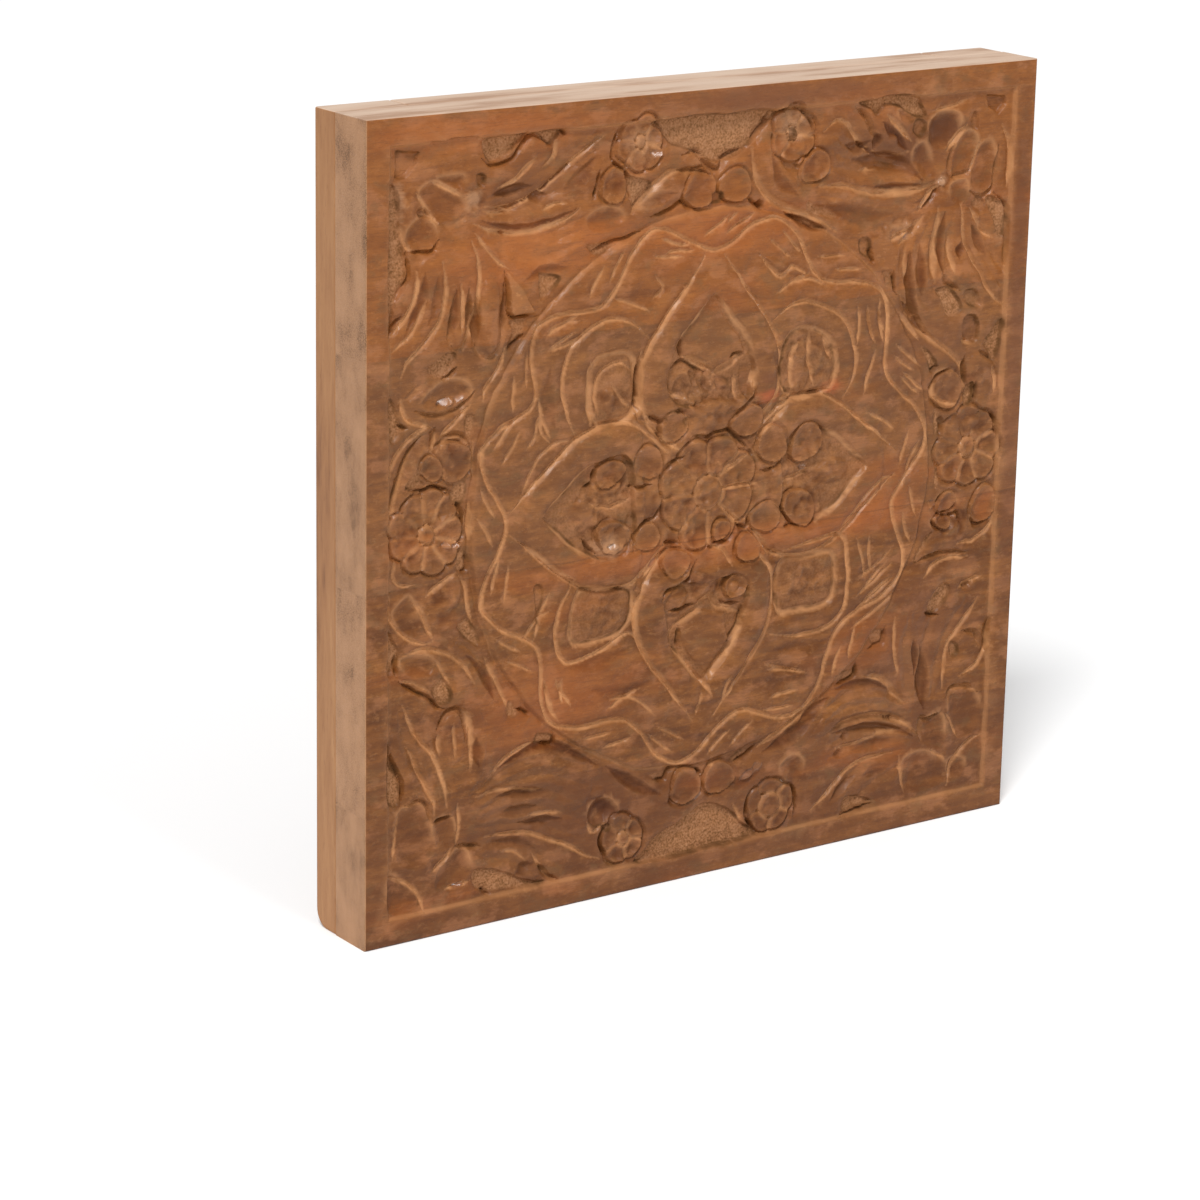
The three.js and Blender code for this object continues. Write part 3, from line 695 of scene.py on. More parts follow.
def carve_top_left():
    """Two hollow petals and long leaf blades that fan out to the right and downwards."""
    relief.swell((-170, 131, -150, 138, -136, 128, -138, 100, -152, 84, -176, 84, -180, 108), 1.0, 9)
    relief.swell((-135, 136, -100, 138, -76, 132, -96, 122, -118, 122), 0.9, 7)
    troughs(5.5, 3.2, (-129, 160, -120, 161.5, -112, 162.5, -105, 162), (-107, 155, -97, 156.5))
    troughs(4.5, 2.8, (-134, 147, -125, 144.5, -115, 142.5, -105, 142, -95, 143.5, -88, 146, -82, 148.5))
    troughs(6.5, 2.0, (-168, 127, -170, 112, -178, 98), (-88, 158, -80, 163, -72, 172))
    troughs(5.0, 2.5, (-150.5, 117, -151.5, 105, -154, 95), (-142.5, 117, -142, 105, -143, 95))
    troughs(4.5, 2.6, (-137, 115, -138, 100, -137, 88), (-122.5, 118, -122.5, 103, -124.5, 90))
    troughs(5.0, 1.6, (-112, 117, -100, 121, -86, 121), (-161, 124, -161.5, 112, -166, 102))
    relief.swell((-135, 118, -135.5, 95, -131.5, 84.5, -127, 88, -125.5, 104, -126, 118), 1.3, 4)
    relief.swell((-151, 115, -152, 98, -147, 90.5, -144, 97, -144, 115), 0.9, 4)
    floors(
        4.5, 1.0,
        (-136, 184, -130, 187, -110, 187, -113, 183, -118, 179.5, -125, 176, -132, 176),
        (-104, 187, -92, 187, -94.5, 181, -98, 179, -102, 183),
        (-187, 165, -181, 165, -180.5, 150, -178.5, 140, -177, 128, -180, 118, -183.5, 110, -187, 99),
        (-165, 80, -157, 87, -147.5, 87, -150, 80.5, -157, 75),
    )
    floors(
        4.2, 0.7,
        (-119, 98.5, -109.5, 98, -112, 91, -119.5, 85, -117.5, 92),
        (-103, 118.5, -98, 119.5, -90, 117, -94, 111.5, -101, 107),
        (-76, 131, -62, 131.5, -62, 127.5, -70, 124.5),
    )
    floors(
        4.6, 0.0,
        (-138, 170, -133, 169.5, -133.5, 164, -138, 165),
        (-171, 156, -165, 155.5, -163, 151, -170, 152),
    )
    scoops(
        2.8, 5,
        (-145, 158.5, -153, 164, -163, 169, -170, 163.5, -165, 155, -159, 148.5, -152, 147.5, -145.5, 149.5),
        (-173, 151, -166, 152.5, -161.5, 147, -162, 138.5, -170, 137.5, -176, 140, -177, 146),
        (-160, 170.5, -146.5, 170.5, -147, 163.5),
    )
    relief.ground((-183, 185.5, -169.5, 183.5, -172, 177, -177, 171, -183, 172), 4.4, False, 0.0)
    strokes(
        VEIN,
        (
            -68, 181, -75, 177.5, -82, 172, -90, 165.5, -97, 161,
            -105, 157, -113, 154.5, -120, 153.5, -133, 154.5,
        ),
        (-105, 175, -112, 169.5, -118, 166, -126, 163),
        (-94, 183, -93.5, 176, -96, 171, -100, 169.5),
        (-139, 146, -130, 142.5, -118, 140, -106, 139.5, -96, 141, -87, 144, -80, 148.5),
        (-164, 170.5, -155, 166, -146, 160),
        (-171.5, 164, -165, 154.5, -159.5, 147.5),
        (-180.5, 150, -177.5, 140.5, -174, 137),
        (-140, 138, -136.5, 125, -137.5, 110, -140, 98, -144, 88),
        (-147, 119, -146.5, 108, -147, 97),
        (-158, 131, -156.5, 120, -157, 112, -160, 103, -165, 96, -171, 90, -177, 84, -180, 78),
        (-172, 128, -173, 116, -178, 106, -185, 98),
        (-121.5, 86, -124, 77.5, -130, 70.5, -133, 62),
    )
    strokes(
        FINE,
        (-101, 149, -94, 151.5, -87, 151.5),
        (-134, 152, -125, 151, -116, 151.5),
        (-138, 141.5, -132, 134, -126, 128, -120, 124),
        (-166.5, 114, -170, 105, -176, 97, -185, 91),
    )
    strokes(
        CREASE,
        (-136, 177, -131, 174.3, -124, 174.2, -117, 177, -110, 184, -106, 186, -100, 182, -96, 179),
        (-92, 187, -89, 183.5),
        (-176, 137, -170, 136.3, -163, 136, -160, 141),
        (-177.5, 137, -176, 127, -179.5, 119, -183, 112),
        (-180, 107, -184, 103, -187, 98.5),
        (-111, 91, -114, 88, -119.5, 84.5),
        (-148, 81, -153, 76, -158, 74.5),
    )
    strokes(
        SOFT,
        (-137, 110, -138, 97, -137, 88, -133, 82.5, -128, 83, -123.5, 90, -122, 103, -122.5, 117),
        (-151.5, 115, -153.5, 98, -151, 90, -146, 89, -142.5, 95, -141.5, 106, -142, 117),
        (-159, 148, -152, 147, -145.5, 149, -144, 154),
    )
    fan(BLADE, 4, (-132, 158, -112, 164, -92, 172, -72, 184), (-134, 150, -112, 151, -92, 158, -72, 170))
    fan(BLADE, 3, (-134, 146, -115, 138, -98, 137, -78, 144), (-134, 140, -115, 130, -98, 128, -80, 132))
    relief.rough(-140, 158, 9, 8)
    relief.rough(-180, 160, 8, 12)
    relief.slice(
        (-121.5, 124, -112.5, 114, -104.5, 100.5, -118, 100.5, -119.5, 111),
        -1.5,
        (0.03, -0.02),
        1.0,
    )
    relief.groove((-122, 123, -120, 112, -118.5, 101, -110, 99.5, -103, 99), CREASE)
    relief.slice((-166, 188, -139, 188, -138, 182, -164, 181), -2.0, (0, 0.02), 0.35)


def carve_top_right():
    """Four petals round a bright hub, a deep dark blade to the left and leaves below."""
    relief.swell((64, 148, 100, 136, 134, 138, 128, 128, 100, 122, 76, 132), 1.1, 8)
    relief.swell((120, 124, 150, 128, 172, 118, 184, 78, 160, 88, 140, 88, 124, 90), 1.0, 9)
    troughs(6.0, 2.8, (98, 166, 90, 163, 80, 165), (156.5, 109, 155.5, 101))
    troughs(9.5, 3.8, (86, 157.5, 100, 155, 112, 153.5, 122, 150.5, 131, 143.5))
    troughs(4.5, 2.8, (97, 142.5, 108, 141, 120, 140.5, 131, 142))
    troughs(10, 2.2, (64, 137, 80, 132, 95, 128, 112, 128))
    troughs(4.5, 3.0, (102, 175, 108, 170, 114, 165.5, 121, 159), (99, 170, 101.5, 165.5, 101, 161))
    troughs(5.5, 2.7, (124, 108, 125, 95, 128, 82, 133, 71), (131, 111, 132, 96, 134, 84))
    troughs(5.0, 2.6, (144.5, 126, 143.5, 106, 146, 94), (163, 118, 168, 110, 174, 101))
    floors(
        4.5, 1.0,
        (
            87, 187, 120, 187, 126, 181.5, 130, 175, 124, 174.5,
            117, 176.5, 112, 180, 103, 181.5, 98, 178, 94, 182,
        ),
        (179, 131, 184.5, 125, 185.5, 112, 182, 110, 177, 119, 173, 130),
        (143, 86, 150, 87, 157, 81, 160, 74, 152, 70, 147, 76),
    )
    floors(
        4.2, 0.6,
        (61, 137, 67, 136.5, 75, 131.5, 76, 128, 68, 130, 61, 133.5),
        (106, 100, 113, 99.5, 113.5, 92, 110.5, 89, 108, 95),
        (163, 130, 170, 131.5, 173.5, 127, 168, 124.5, 163.5, 126),
    )
    floors(
        4.4, 0.3,
        (91, 117.5, 97, 117.5, 99, 112, 98, 107, 92, 110),
        (161, 84, 170, 83.5, 171.5, 75, 163, 76),
        (161.5, 176, 165.5, 173, 165, 166, 160, 168),
        (123, 174, 130, 172, 127, 165, 122, 168),
    )
    scoops(
        3.2, 6,
        (131, 171, 136, 176.5, 147, 178, 152.5, 174.5, 151, 166, 145, 160, 139, 158, 133, 162),
        (111, 179, 117, 177.5, 121.5, 173.5, 114, 173),
    )
    scoops(
        2.1, 5,
        (147.5, 148, 149.5, 158, 156, 166, 163, 165.5, 165, 158, 161, 150, 157, 145, 149.5, 144),
        (162, 146, 167, 158, 174, 160, 178, 152, 177, 140, 171, 133.5, 163, 136),
        (148, 140, 158, 141.5, 160, 134, 155, 128, 149, 131),
        (124.5, 160, 129, 163, 134, 156, 137, 148, 134.5, 143.5, 129, 147, 125, 153),
    )
    relief.lump(109.5, 164.2, 6, 3.6, -0.2, top=-1.4)
    relief.ground((169, 184, 182, 183, 183, 178, 178.5, 172.5, 171, 177), 5, False, 0.0)
    strokes(
        RIDGE,
        (64, 147, 79, 145, 88, 142.5, 98, 139.3, 108, 138, 120, 138, 131, 139.5, 140, 142.5),
        (131, 126, 123, 117, 117, 112),
        (129, 121, 119, 118, 109, 113),
        (157, 170, 150, 163, 144, 157),
        (141, 129, 140, 115, 139.5, 103, 141.5, 90),
    )
    strokes(
        VEIN,
        (64, 174, 70, 177.5, 76, 177.5, 83, 173, 90, 166, 97, 161, 105, 158, 113, 157, 122, 158.5),
        (104, 177.5, 110, 173, 117, 167.5, 122, 163.5),
        (142, 141, 134, 135, 128, 128),
        (167, 161, 164, 152, 160.5, 145),
        (149, 112, 150, 103, 152.5, 94),
        (155, 128, 157, 116, 160, 108, 166, 100, 172, 92, 177, 84, 181, 78, 186.5, 73),
        (161, 126, 166, 120, 171, 114, 177, 110),
        (119, 87, 125, 79, 130, 71, 136, 65, 144, 59),
        (180, 168, 185, 158, 186.5, 145, 185.5, 136),
    )
    strokes(
        FINE,
        (90, 152, 100, 151.5, 110, 150),
        (121.5, 110, 121.5, 98, 124.5, 87),
        (124.5, 82, 131, 73, 138, 64.5),
        (133, 178, 145, 179.5, 158, 183),
    )
    strokes(
        CREASE,
        (142, 140, 137, 133.5, 131, 129),
        (178, 133, 184, 127.5, 186, 121, 186.8, 110, 186.8, 95),
        (113.8, 99.5, 115, 92, 117.5, 86),
        (99, 112, 99, 107, 101, 104),
    )
    strokes(
        OUTLINE,
        (148, 143.5, 157, 144.5, 161, 146.5),
        (147.5, 144, 147, 152, 150, 160),
        (161, 135, 167, 131.5, 173, 132.5, 177.5, 137, 178.5, 147, 179, 157),
        (85, 184, 92, 179, 96, 173, 100, 167),
        (145, 95, 150, 88, 158, 84),
        (123.5, 106, 124, 93, 127, 81, 132, 71, 139, 62),
    )
    fan(BLADE, 5, (132, 152, 112, 158, 94, 168, 76, 184), (130, 146, 108, 148, 86, 152, 66, 158))
    fan(BLADE, 3, (134, 138, 112, 132, 92, 134, 66, 142), (130, 130, 112, 124, 94, 124, 74, 128))
    fan(BLADE, 4, (128, 122, 119, 104, 121, 86, 132, 66), (150, 122, 148, 106, 149, 96, 154, 88))
    fan(BLADE, 3, (168, 124, 172, 112, 178, 102, 186, 92), (157, 118, 163, 104, 173, 90, 183, 78))
    relief.rough(142, 143, 8, 8)
    relief.rough(116, 119, 14, 7, 1.2)
    relief.slice((98, 117, 107, 118.5, 116, 110, 117, 102, 108, 99.5, 100, 104), -3.2, (-0.02, 0.03), 0.4)
    relief.slice((139.5, 141, 142, 145, 144.5, 143, 143, 140), -1.4, (0.1, -0.35), 1.0)


def carve_bottom_left():
    """A round-ended orange leaf, a broad smooth band and a long streaked blade under an arched edge."""
    relief.swell((-146, -64, -137, -82, -131, -102, -133, -124, -140, -130, -139, -104, -150, -80), 1.0, 7)
    relief.swell(
        (-136, -136, -120, -125, -98, -119, -80, -128, -68, -138, -74, -150, -100, -156, -130, -153),
        1.4, 12,
    )
    troughs(6.0, 2.4, (-136, -104, -135, -119), (-142, -62, -134, -69, -129.5, -77, -126, -86))
    troughs(6.5, 3.4, (-123, -122.5, -110, -117.5, -98, -115, -90, -117.5, -78, -123.5, -65, -131))
    troughs(4.5, 2.3, (-124, -137, -108, -137.5, -92, -139.5), (-110, -152.5, -84, -154.5))
    troughs(
        5.5, 1.8,
        (-122, -146.5, -100, -145.5),
        (-128, -160.5, -112, -162.5, -98, -168),
        (-112, -179, -100, -175),
    )
    floors(
        4.3, 1.0,
        (-162, -74, -156, -70, -150.5, -77, -151.5, -83, -158, -82),
        (-187, -97, -184.5, -100, -184, -108, -180, -115, -178, -122, -180, -131, -187, -127, -187, -110),
        (-136, -172, -125, -172.5, -116, -177, -106, -182, -94, -186, -131, -184),
    )
    floors(
        4.2, 0.8,
        (-117, -88, -113, -91, -111, -96, -118, -97),
        (-100, -107.5, -94, -109.5, -90, -112, -91, -115.5, -100, -113.5),
    )
    scoops(
        2.2, 6,
        (-180, -134, -168, -132, -162.5, -138, -161, -146, -160, -156, -168, -163, -180, -160, -183, -148),
        (-159.5, -143, -148.5, -142.5, -148, -157, -155, -159, -160, -152),
        (-147, -159, -140, -160.5, -137.5, -170, -142, -175, -158, -177.5, -158, -168.5, -152, -163),
        (-187, -165, -179, -168, -172, -175, -169.5, -183, -187, -184),
    )
    relief.swell((-156, -96, -153, -89.5, -147, -88, -143, -96, -142, -112, -154, -114), 1.0, 4)
    strokes(
        VEIN,
        (-178, -80, -172, -92, -166, -101, -160, -108, -156, -116, -153, -126, -152, -137),
        (-175, -102, -170, -109, -167, -118, -162, -126, -159.5, -133, -159, -140),
        (-144, -86, -141, -92, -139.3, -100, -138, -110, -139, -119),
        (-131, -64, -126, -74, -121, -84, -117.5, -93),
        (-128, -127, -122, -120, -114, -115, -106, -112.7, -100, -112),
        (-130, -156, -115, -157, -102, -160, -92, -164, -80, -170, -70, -177, -62, -180),
        (-150, -158, -156, -164, -162, -168),
        (-153, -178, -146, -177, -138, -176),
    )
    corner_arc(-1, -1, VEIN)
    fan(
        BLADE, 3,
        (-180, -84, -174, -104, -166, -120, -160, -134),
        (-168, -80, -159, -98, -152, -116, -149, -132),
    )
    fan(
        BLADE, 5,
        (-138, -134, -116, -124, -96, -121, -72, -130),
        (-138, -150, -116, -152, -96, -155, -76, -166),
    )
    fan(
        BLADE, 2,
        (-136, -158, -116, -162, -98, -170, -84, -180),
        (-134, -164, -118, -170, -106, -176, -98, -183),
    )
    strokes(
        FINE,
        (-179, -68, -170, -70.5, -163, -75.5),
        (-149, -93, -148, -103, -147, -113),
        (-156, -98, -155, -110),
        (-136, -135, -125, -133.5, -110, -135, -95, -138),
        (-106, -149, -95, -150, -85, -151.5),
        (-120, -165, -111, -168, -105, -173),
        (-100, -170, -96, -177, -90, -183),
        (-180, -135, -182.5, -147, -184, -158),
        (-146, -136, -145, -145, -147, -157),
    )
    strokes(
        CREASE,
        (-180, -68.5, -172, -73.5, -163, -78.5, -158, -84, -153, -86),
        (-184, -101, -183, -108, -179, -116, -177, -122, -179, -132),
        (-112, -93, -108, -94.5, -104, -98),
        (-90, -110.5, -90, -116, -97, -114.5),
        (-160, -143, -148, -142.3),
        (-131, -182, -127, -186.5),
    )
    strokes(
        OUTLINE,
        (-157, -96, -154, -89.5, -149, -86.5, -145, -87, -142.5, -94, -141.5, -103),
        (-176, -131.5, -166, -131.5, -162.3, -136, -161, -143),
        (-147, -157.5, -139, -159, -131, -160.5),
        (-97, -176, -92, -183, -86, -186.5),
    )


def carve_bottom_right():
    """A broad dark leaf with a deep channel, a pale curl and a streaked blade to the left."""
    relief.swell((122, -80, 134, -84, 141, -104, 141, -128, 130, -126, 124, -104), 0.9, 7)
    relief.swell(
        (70, -137, 84, -128, 104, -123, 122, -128, 138, -138, 118, -136, 95, -135, 76, -141),
        1.2, 6,
    )
    troughs(8.0, 3.6, (142, -104, 142.5, -118, 144, -129, 146, -138))
    troughs(5.0, 2.6, (136, -98, 137, -108, 137, -117), (62, -132, 70, -126.5, 82, -120.5))
    troughs(5.5, 3.0, (86, -117.5, 100, -117.5, 112, -119, 122, -124))
    troughs(5.0, 3.4, (84, -141, 100, -141.5, 115, -143.5, 128, -146.5, 139, -151))
    troughs(5.0, 2.0, (86, -152, 94, -152.5), (91, -144.5, 98, -144), (84, -177, 92, -171, 102, -166))
    troughs(7.0, 1.6, (100, -153, 125, -152.5), (106, -167, 124, -165))
    floors(
        4.2, 0.9,
        (145, -84, 152, -86, 158, -80, 160, -73, 154, -70, 147, -76),
        (93, -178, 98, -176.5, 108, -180.5, 112, -183.5, 100, -184.5, 92, -184.5),
    )
    floors(
        4.2, 0.6,
        (107, -90, 116, -89, 116, -96, 109, -97),
        (84, -110, 96, -108, 99, -105, 100, -113, 90, -114.5),
        (162.5, -104, 167, -105, 168, -111, 163, -112),
    )
    scoops(
        2.1, 6,
        (144.5, -143.5, 157, -142, 160, -150, 158, -161, 149, -158.5, 145, -155),
        (161.5, -137, 163, -130, 171, -129, 179, -132.5, 183, -142, 181, -155, 170, -157, 164, -148),
        (132.5, -163, 140, -160, 150, -161.5, 160, -167, 160, -180, 134, -181.5, 132, -172),
        (164, -168, 174, -169, 173, -177, 163, -180),
    )
    relief.lump(178, -119, 9, 6, 0.5, top=-1.3)
    fan(BLADE, 3, (170, -82, 158, -100, 152, -116, 150, -132), (132, -86, 130, -104, 133, -120, 138, -132))
    fan(BLADE, 5, (138, -134, 118, -124, 98, -121, 78, -127), (136, -152, 116, -152, 98, -151, 82, -154))
    fan(BLADE, 2, (132, -158, 112, -160, 98, -166, 84, -178), (134, -166, 118, -170, 108, -176, 100, -182))
    strokes(
        RIDGE,
        (104, -113, 114, -115.5, 121, -120, 126, -126, 132, -131),
        (84, -138.5, 95, -137, 108, -136.5, 120, -138.5, 132, -142.5, 142, -149.5),
    )
    strokes(
        VEIN,
        (178.5, -81, 172, -90, 166, -98, 161, -104, 158, -112, 157, -120, 157, -128),
        (165, -74.5, 173, -71.5, 180.5, -69.5),
        (71, -180, 80, -174, 87, -168, 94, -162.5, 105, -159.5, 126, -158.5),
        (162, -183, 166, -172, 172, -164.5, 180, -159.5, 186, -158),
        (180, -98, 185, -102.5, 186, -110, 180, -118, 168, -122.5),
    )
    strokes(
        FINE,
        (87, -149, 98, -149.5, 115, -148),
        (113, -147, 130, -147.5),
        (130, -161, 131, -171, 132.5, -181),
        (150, -160, 155.5, -162.8, 161, -166),
        (160, -142, 165, -148, 169.5, -156),
        (122.5, -84, 123.5, -100, 127, -117),
    )
    strokes(
        CREASE,
        (143, -84.8, 149, -87, 153.5, -88),
        (117, -88, 116, -96, 111, -97.5, 106, -98.5),
        (86, -115, 95, -114.3, 99.5, -111.5, 99, -105),
        (186.5, -92, 185.5, -99, 186.5, -112),
        (88, -186.5, 100, -186, 112, -184.3),
    )
    strokes(
        OUTLINE,
        (168, -75.5, 175, -72.5),
        (161.5, -138, 162.5, -129.5, 170, -128.3, 178, -131.5, 181, -134.5),
        (144.3, -155, 144, -143, 150, -143.7, 157, -141.7),
        (170, -99, 178, -102, 181.5, -108.5),
    )


def carve_left_flank():
    """Rosette between two leaves that curl round hollow buds."""
    relief.swell((-181, 66, -170, 73, -150, 56, -162, 50, -176, 52), 0.8, 5)
    scoops(
        2.4, 5,
        (-169, 65, -158, 59.5, -147, 61, -140, 69, -147, 75, -160, 73),
        (-160, 38, -155, 44.5, -148, 46, -142, 43, -143, 36, -152, 34),
        (-179, -58, -168, -57, -160, -61, -163, -67, -174, -66),
    )
    scoops(1.6, 5, (-176, -27, -172, -30, -167, -40, -163, -50, -170, -50, -178, -44, -184, -35))
    relief.swell((-156, 34, -142, 35, -141, 25, -152, 26), 0.9, 4)
    relief.swell((-165, -29, -156, -23, -148, -21, -146, -34, -154, -37), 1.0, 4)
    relief.flower(-165, 2, SIDE_ROSETTE_RADIUS, 9, 4.8, 0.5)
    relief.cup(-150, 35, 10.5, 9.5)
    relief.cup(-163, 33, 6)
    floors(
        4.2, 0.9,
        (-187, 68, -183, 68, -180, 58, -180, 53, -184, 48, -187, 52),
        (-143, 56, -138, 56, -138, 50, -140, 44, -144, 49),
        (-175, 30, -170, 33, -168, 28, -163, 25.5, -170, 24, -177, 25.5),
        (-150, 23, -143, 24, -143, 15, -146, 13, -151, 16),
        (-147, -9, -143, -9, -143, -20, -149, -19),
        (-148, -46, -142, -43, -138, -47, -134, -56, -137, -58, -144, -52),
        (-187, -43, -183, -48, -180, -54, -182, -63, -187, -64),
    )
    strokes(
        VEIN,
        (-180, 69, -177, 60, -170, 55, -163, 52.5),
        (-164, 53, -171, 51, -178, 47, -184, 40, -186.5, 32),
        (-172, 46, -178, 38, -182, 28, -184, 18, -185, 8),
        (-161.5, 52, -161, 44, -162, 38),
        (-186, -24, -186.5, -34, -182, -42, -176, -48, -168, -52, -162, -53),
        (-173, -30, -168, -36, -164, -44, -161, -52),
        (-166, -29, -157, -24, -149, -20.5),
        (-178, -56, -168, -55, -158, -57, -150, -61, -143, -67, -138, -76),
        (-147, -22, -143, -28, -141, -38, -138.5, -46),
        (-141, 13, -141.3, 4, -141, -4),
    )
    strokes(
        CREASE,
        (-161, 52, -161.5, 46, -161, 41),
        (-168, 49, -174, 44, -179, 36.5, -183, 26, -185, 15),
    )
    strokes(VEIN, (-140.5, 61, -148.5, 54.6, -155, 49, -157, 42), (-138.5, 43, -139.5, 35, -139.5, 26))
    strokes(SOFT, (-149.6, -53.6, -140, -59, -131.4, -68.6))
    strokes(FINE, (-160, -60, -156, -67, -152, -73), (-184, -8, -184, -16, -180, -21, -172, -22.5))
    strokes(
        CREASE,
        (-177, 25, -168, 23, -160, 24, -153, 21.5, -150, 19),
        (-149, 13.5, -145, 11.5, -143.5, 3),
        (-181, 57, -176, 54),
        (-142.5, -10, -142, -20, -147, -20.5),
        (-181.5, -56, -181, -66),
    )
    strokes(
        OUTLINE,
        (-158, 44, -152, 47.5, -146, 47, -140.5, 42),
        (-172, 62, -165, 58.5, -155, 58, -145, 61, -138, 68),
    )
    relief.slice((-179, 69, -170, 75.5, -164, 76, -167, 71, -175, 66), -2.2, (0.05, -0.1))
    relief.slice((-158, -4, -147, -4.5, -147, -7, -152, -7.5), -2.6, (0.1, -0.4), 0.9)


def carve_right_flank():
    """Soft worn rosette, its buds darker below, beside the broad light edge of a leaf."""
    relief.swell((164, 30, 166, 48, 176, 50, 184, 40, 182, 28), 1.0, 5)
    scoops(
        2.4, 5,
        (143, 36, 144, 42, 151, 44, 158, 40.5, 160.5, 34, 157, 28.5, 148, 28.5),
        (148, -22, 156, -21, 161, -27, 158, -31, 150, -31),
        (171, -36, 181, -35.5, 181, -42, 173, -43),
        (144, -34, 150, -36, 158, -37, 152, -40.5, 145, -39),
    )
    relief.lump(178, -27, 8.5, 7, 0.0, top=-1.2)
    relief.flower(167, 1, SIDE_ROSETTE_RADIUS, 8, 5.5, 0.5)
    relief.cup(152, 33, 10, 9)
    relief.cup(154, -26, 6, 5)
    relief.cup(152, -36, 5.5, 4)
    relief.cup(179, -31, 8, 10)
    relief.lump(158, 15, 5.5, top=-2.2)
    relief.lump(175, 14, 7, 5.5, top=-2.0)
    floors(
        4.2, 0.9,
        (133, 58, 138, 56, 145, 47, 140, 44, 137, 50),
        (163.5, 32, 169, 36, 170, 25, 165, 23),
        (174, 57, 185, 67, 186, 58, 183, 45, 177, 52),
        (144, 24, 149, 22, 149, 12, 145.5, 10),
        (145, -7, 147.5, -8, 149, -17, 146, -18),
        (146, -41, 140, -51, 133, -58, 136, -50, 142, -42),
    )
    floors(5.4, 0.0, (161, 70, 170, 70, 171, 58, 165, 55.5, 160.5, 61))
    strokes(
        RIDGE,
        (124, 76, 131, 68, 138, 62, 146, 57, 155, 51, 161, 45, 163, 34),
    )
    strokes(
        VEIN,
        (120, 77, 127, 68, 133, 60.5),
        (142.5, 41, 143, 32, 150, 27, 158, 25),
        (180, 43, 182.5, 36, 182, 28),
        (160, 58, 167, 56),
        (163, -50, 168, -49.5, 173.6, -50, 182, -46, 186.5, -38.6),
        (140, -66, 147, -60, 157, -57, 170, -58),
    )
    strokes(
        CREASE,
        (140, 43, 146, 46.5),
        (170.5, 36, 171.5, 24),
        (149, -31.5, 157, -34, 162, -33, 164, -40),
        (180, 18, 185.5, 12, 186.8, 4),
        (149, 20, 150.5, 10),
        (163.5, 50, 163.3, 42, 164.5, 34),
    )
    strokes(FINE, (116.8, 62, 125.4, 54.6, 134, 46.6), (122, 46, 129.7, 39.6, 136.6, 34.3))
    strokes(OUTLINE, (172, 52, 176, 49, 182, 46), (135, -57, 148, -54, 160, -54, 170, -56))
    relief.slice((141.5, -24, 146, -23, 146.5, -26.5, 142.5, -29), -2.6, (0.12, -0.4), 0.9)


def carve_end(sy):
    """Stippled ground between two flowers, with two buds below it against the medallion."""
    ground = ((-37, 187), (-33, 180), (-28, 174), (-14, 169.5), (0, 163.5), (18, 169), (28, 178), (32, 187))
    relief.ground([(u, sy * v) for u, v in ground])
    for x in (-10, 11):
        relief.cup(x, sy * 151.5, 9.5, 9)


def carve_top_end():
    carve_end(1)
    relief.swell((-50, 143, -36, 155, -20, 160, -4, 157, -20, 148, -34, 142), 1.0, 6)
    relief.swell((24, 172, 30, 174, 40, 160, 58, 140, 40, 142, 26, 153), 1.2, 8)
    troughs(6.0, 3.2, (45, 134.5, 57, 128.5, 70, 123.5))
    troughs(6.0, 2.0, (32, 165, 38, 152, 50, 144), (-48, 147, -36, 149, -24, 151))
    floors(
        4.2, 0.9,
        (-52, 161, -42, 160, -37, 155, -42, 149, -50, 145, -50, 152),
        (57, 140, 63, 138, 68, 130.5, 59, 133),
    )
    floors(5.0, 0.0, (-3, 149, 3, 149, 3, 144, -2, 144), (27, 143, 31, 142, 30, 138, 27, 139))
    relief.flower(-46, 176.5, 13, 6, 3, 0.2, hollow=1.5)
    relief.flower(46, 174, 13.5, 6, 3.4, 0.1, hollow=1.3)
    relief.ground((43.5, 176.5, 48, 176.5, 48.5, 172, 44, 171.5), 5, stipple=0.0)
    relief.ground((40, 160, 49, 159, 49, 155.5, 42, 156), 4.6, stipple=0.3)
    relief.lump(-41, 168, 5, 4, top=-2)
    relief.lump(50, 166.5, 4.5, top=-2)
    relief.cup(-61, 157.5, 8.2, 7.6)
    relief.cup(60, 157, 8.5, 8)
    scoops(1.8, 5, (-76, 144, -66, 149, -57, 146, -56, 141, -66, 137, -74, 138))
    strokes(
        RIDGE,
        (21, 168, 23, 158, 27, 150, 35, 143, 45, 138, 55, 134, 65, 129.5, 76, 122.5),
        (-51, 144, -44, 149, -37, 155, -29, 160, -21, 161),
    )
    strokes(FINE, (12, 131, 18, 133, 24, 137), (7, 133, 13, 138), (-30, 122, -22, 123, -13, 121.5))
    strokes(
        CREASE,
        (-57, 187, -61, 180, -62, 172, -59, 167, -53, 163),
        (-69, 166, -71, 158, -73, 152),
        (-54, 165, -51.5, 158, -50.5, 148),
        (-72, 127.5, -62, 130.5, -53, 132, -45, 134),
        (44, 135.7, 51.4, 131.4, 60, 126, 68.6, 124),
        (-39, 141, -27, 143, -20, 146, -16, 144, -11, 142),
        (35, 185, 42, 187, 50, 186, 57, 180, 60, 172),
        (32, 187, 28, 179, 20, 170.5),
        (20, 145, 24, 141.5, 30, 140),
        (28, 143, 29, 138),
    )
    strokes(
        OUTLINE,
        (-24, 161, -12, 160.5, -4, 158),
        (-22, 168.5, -12, 169.5, -8, 165, 0, 160, 6, 166, 18, 169),
    )
    relief.slice((-41, 173.5, -32, 173.5, -33, 170.5, -38, 169), -2.4, (0.15, -0.35), 0.9)


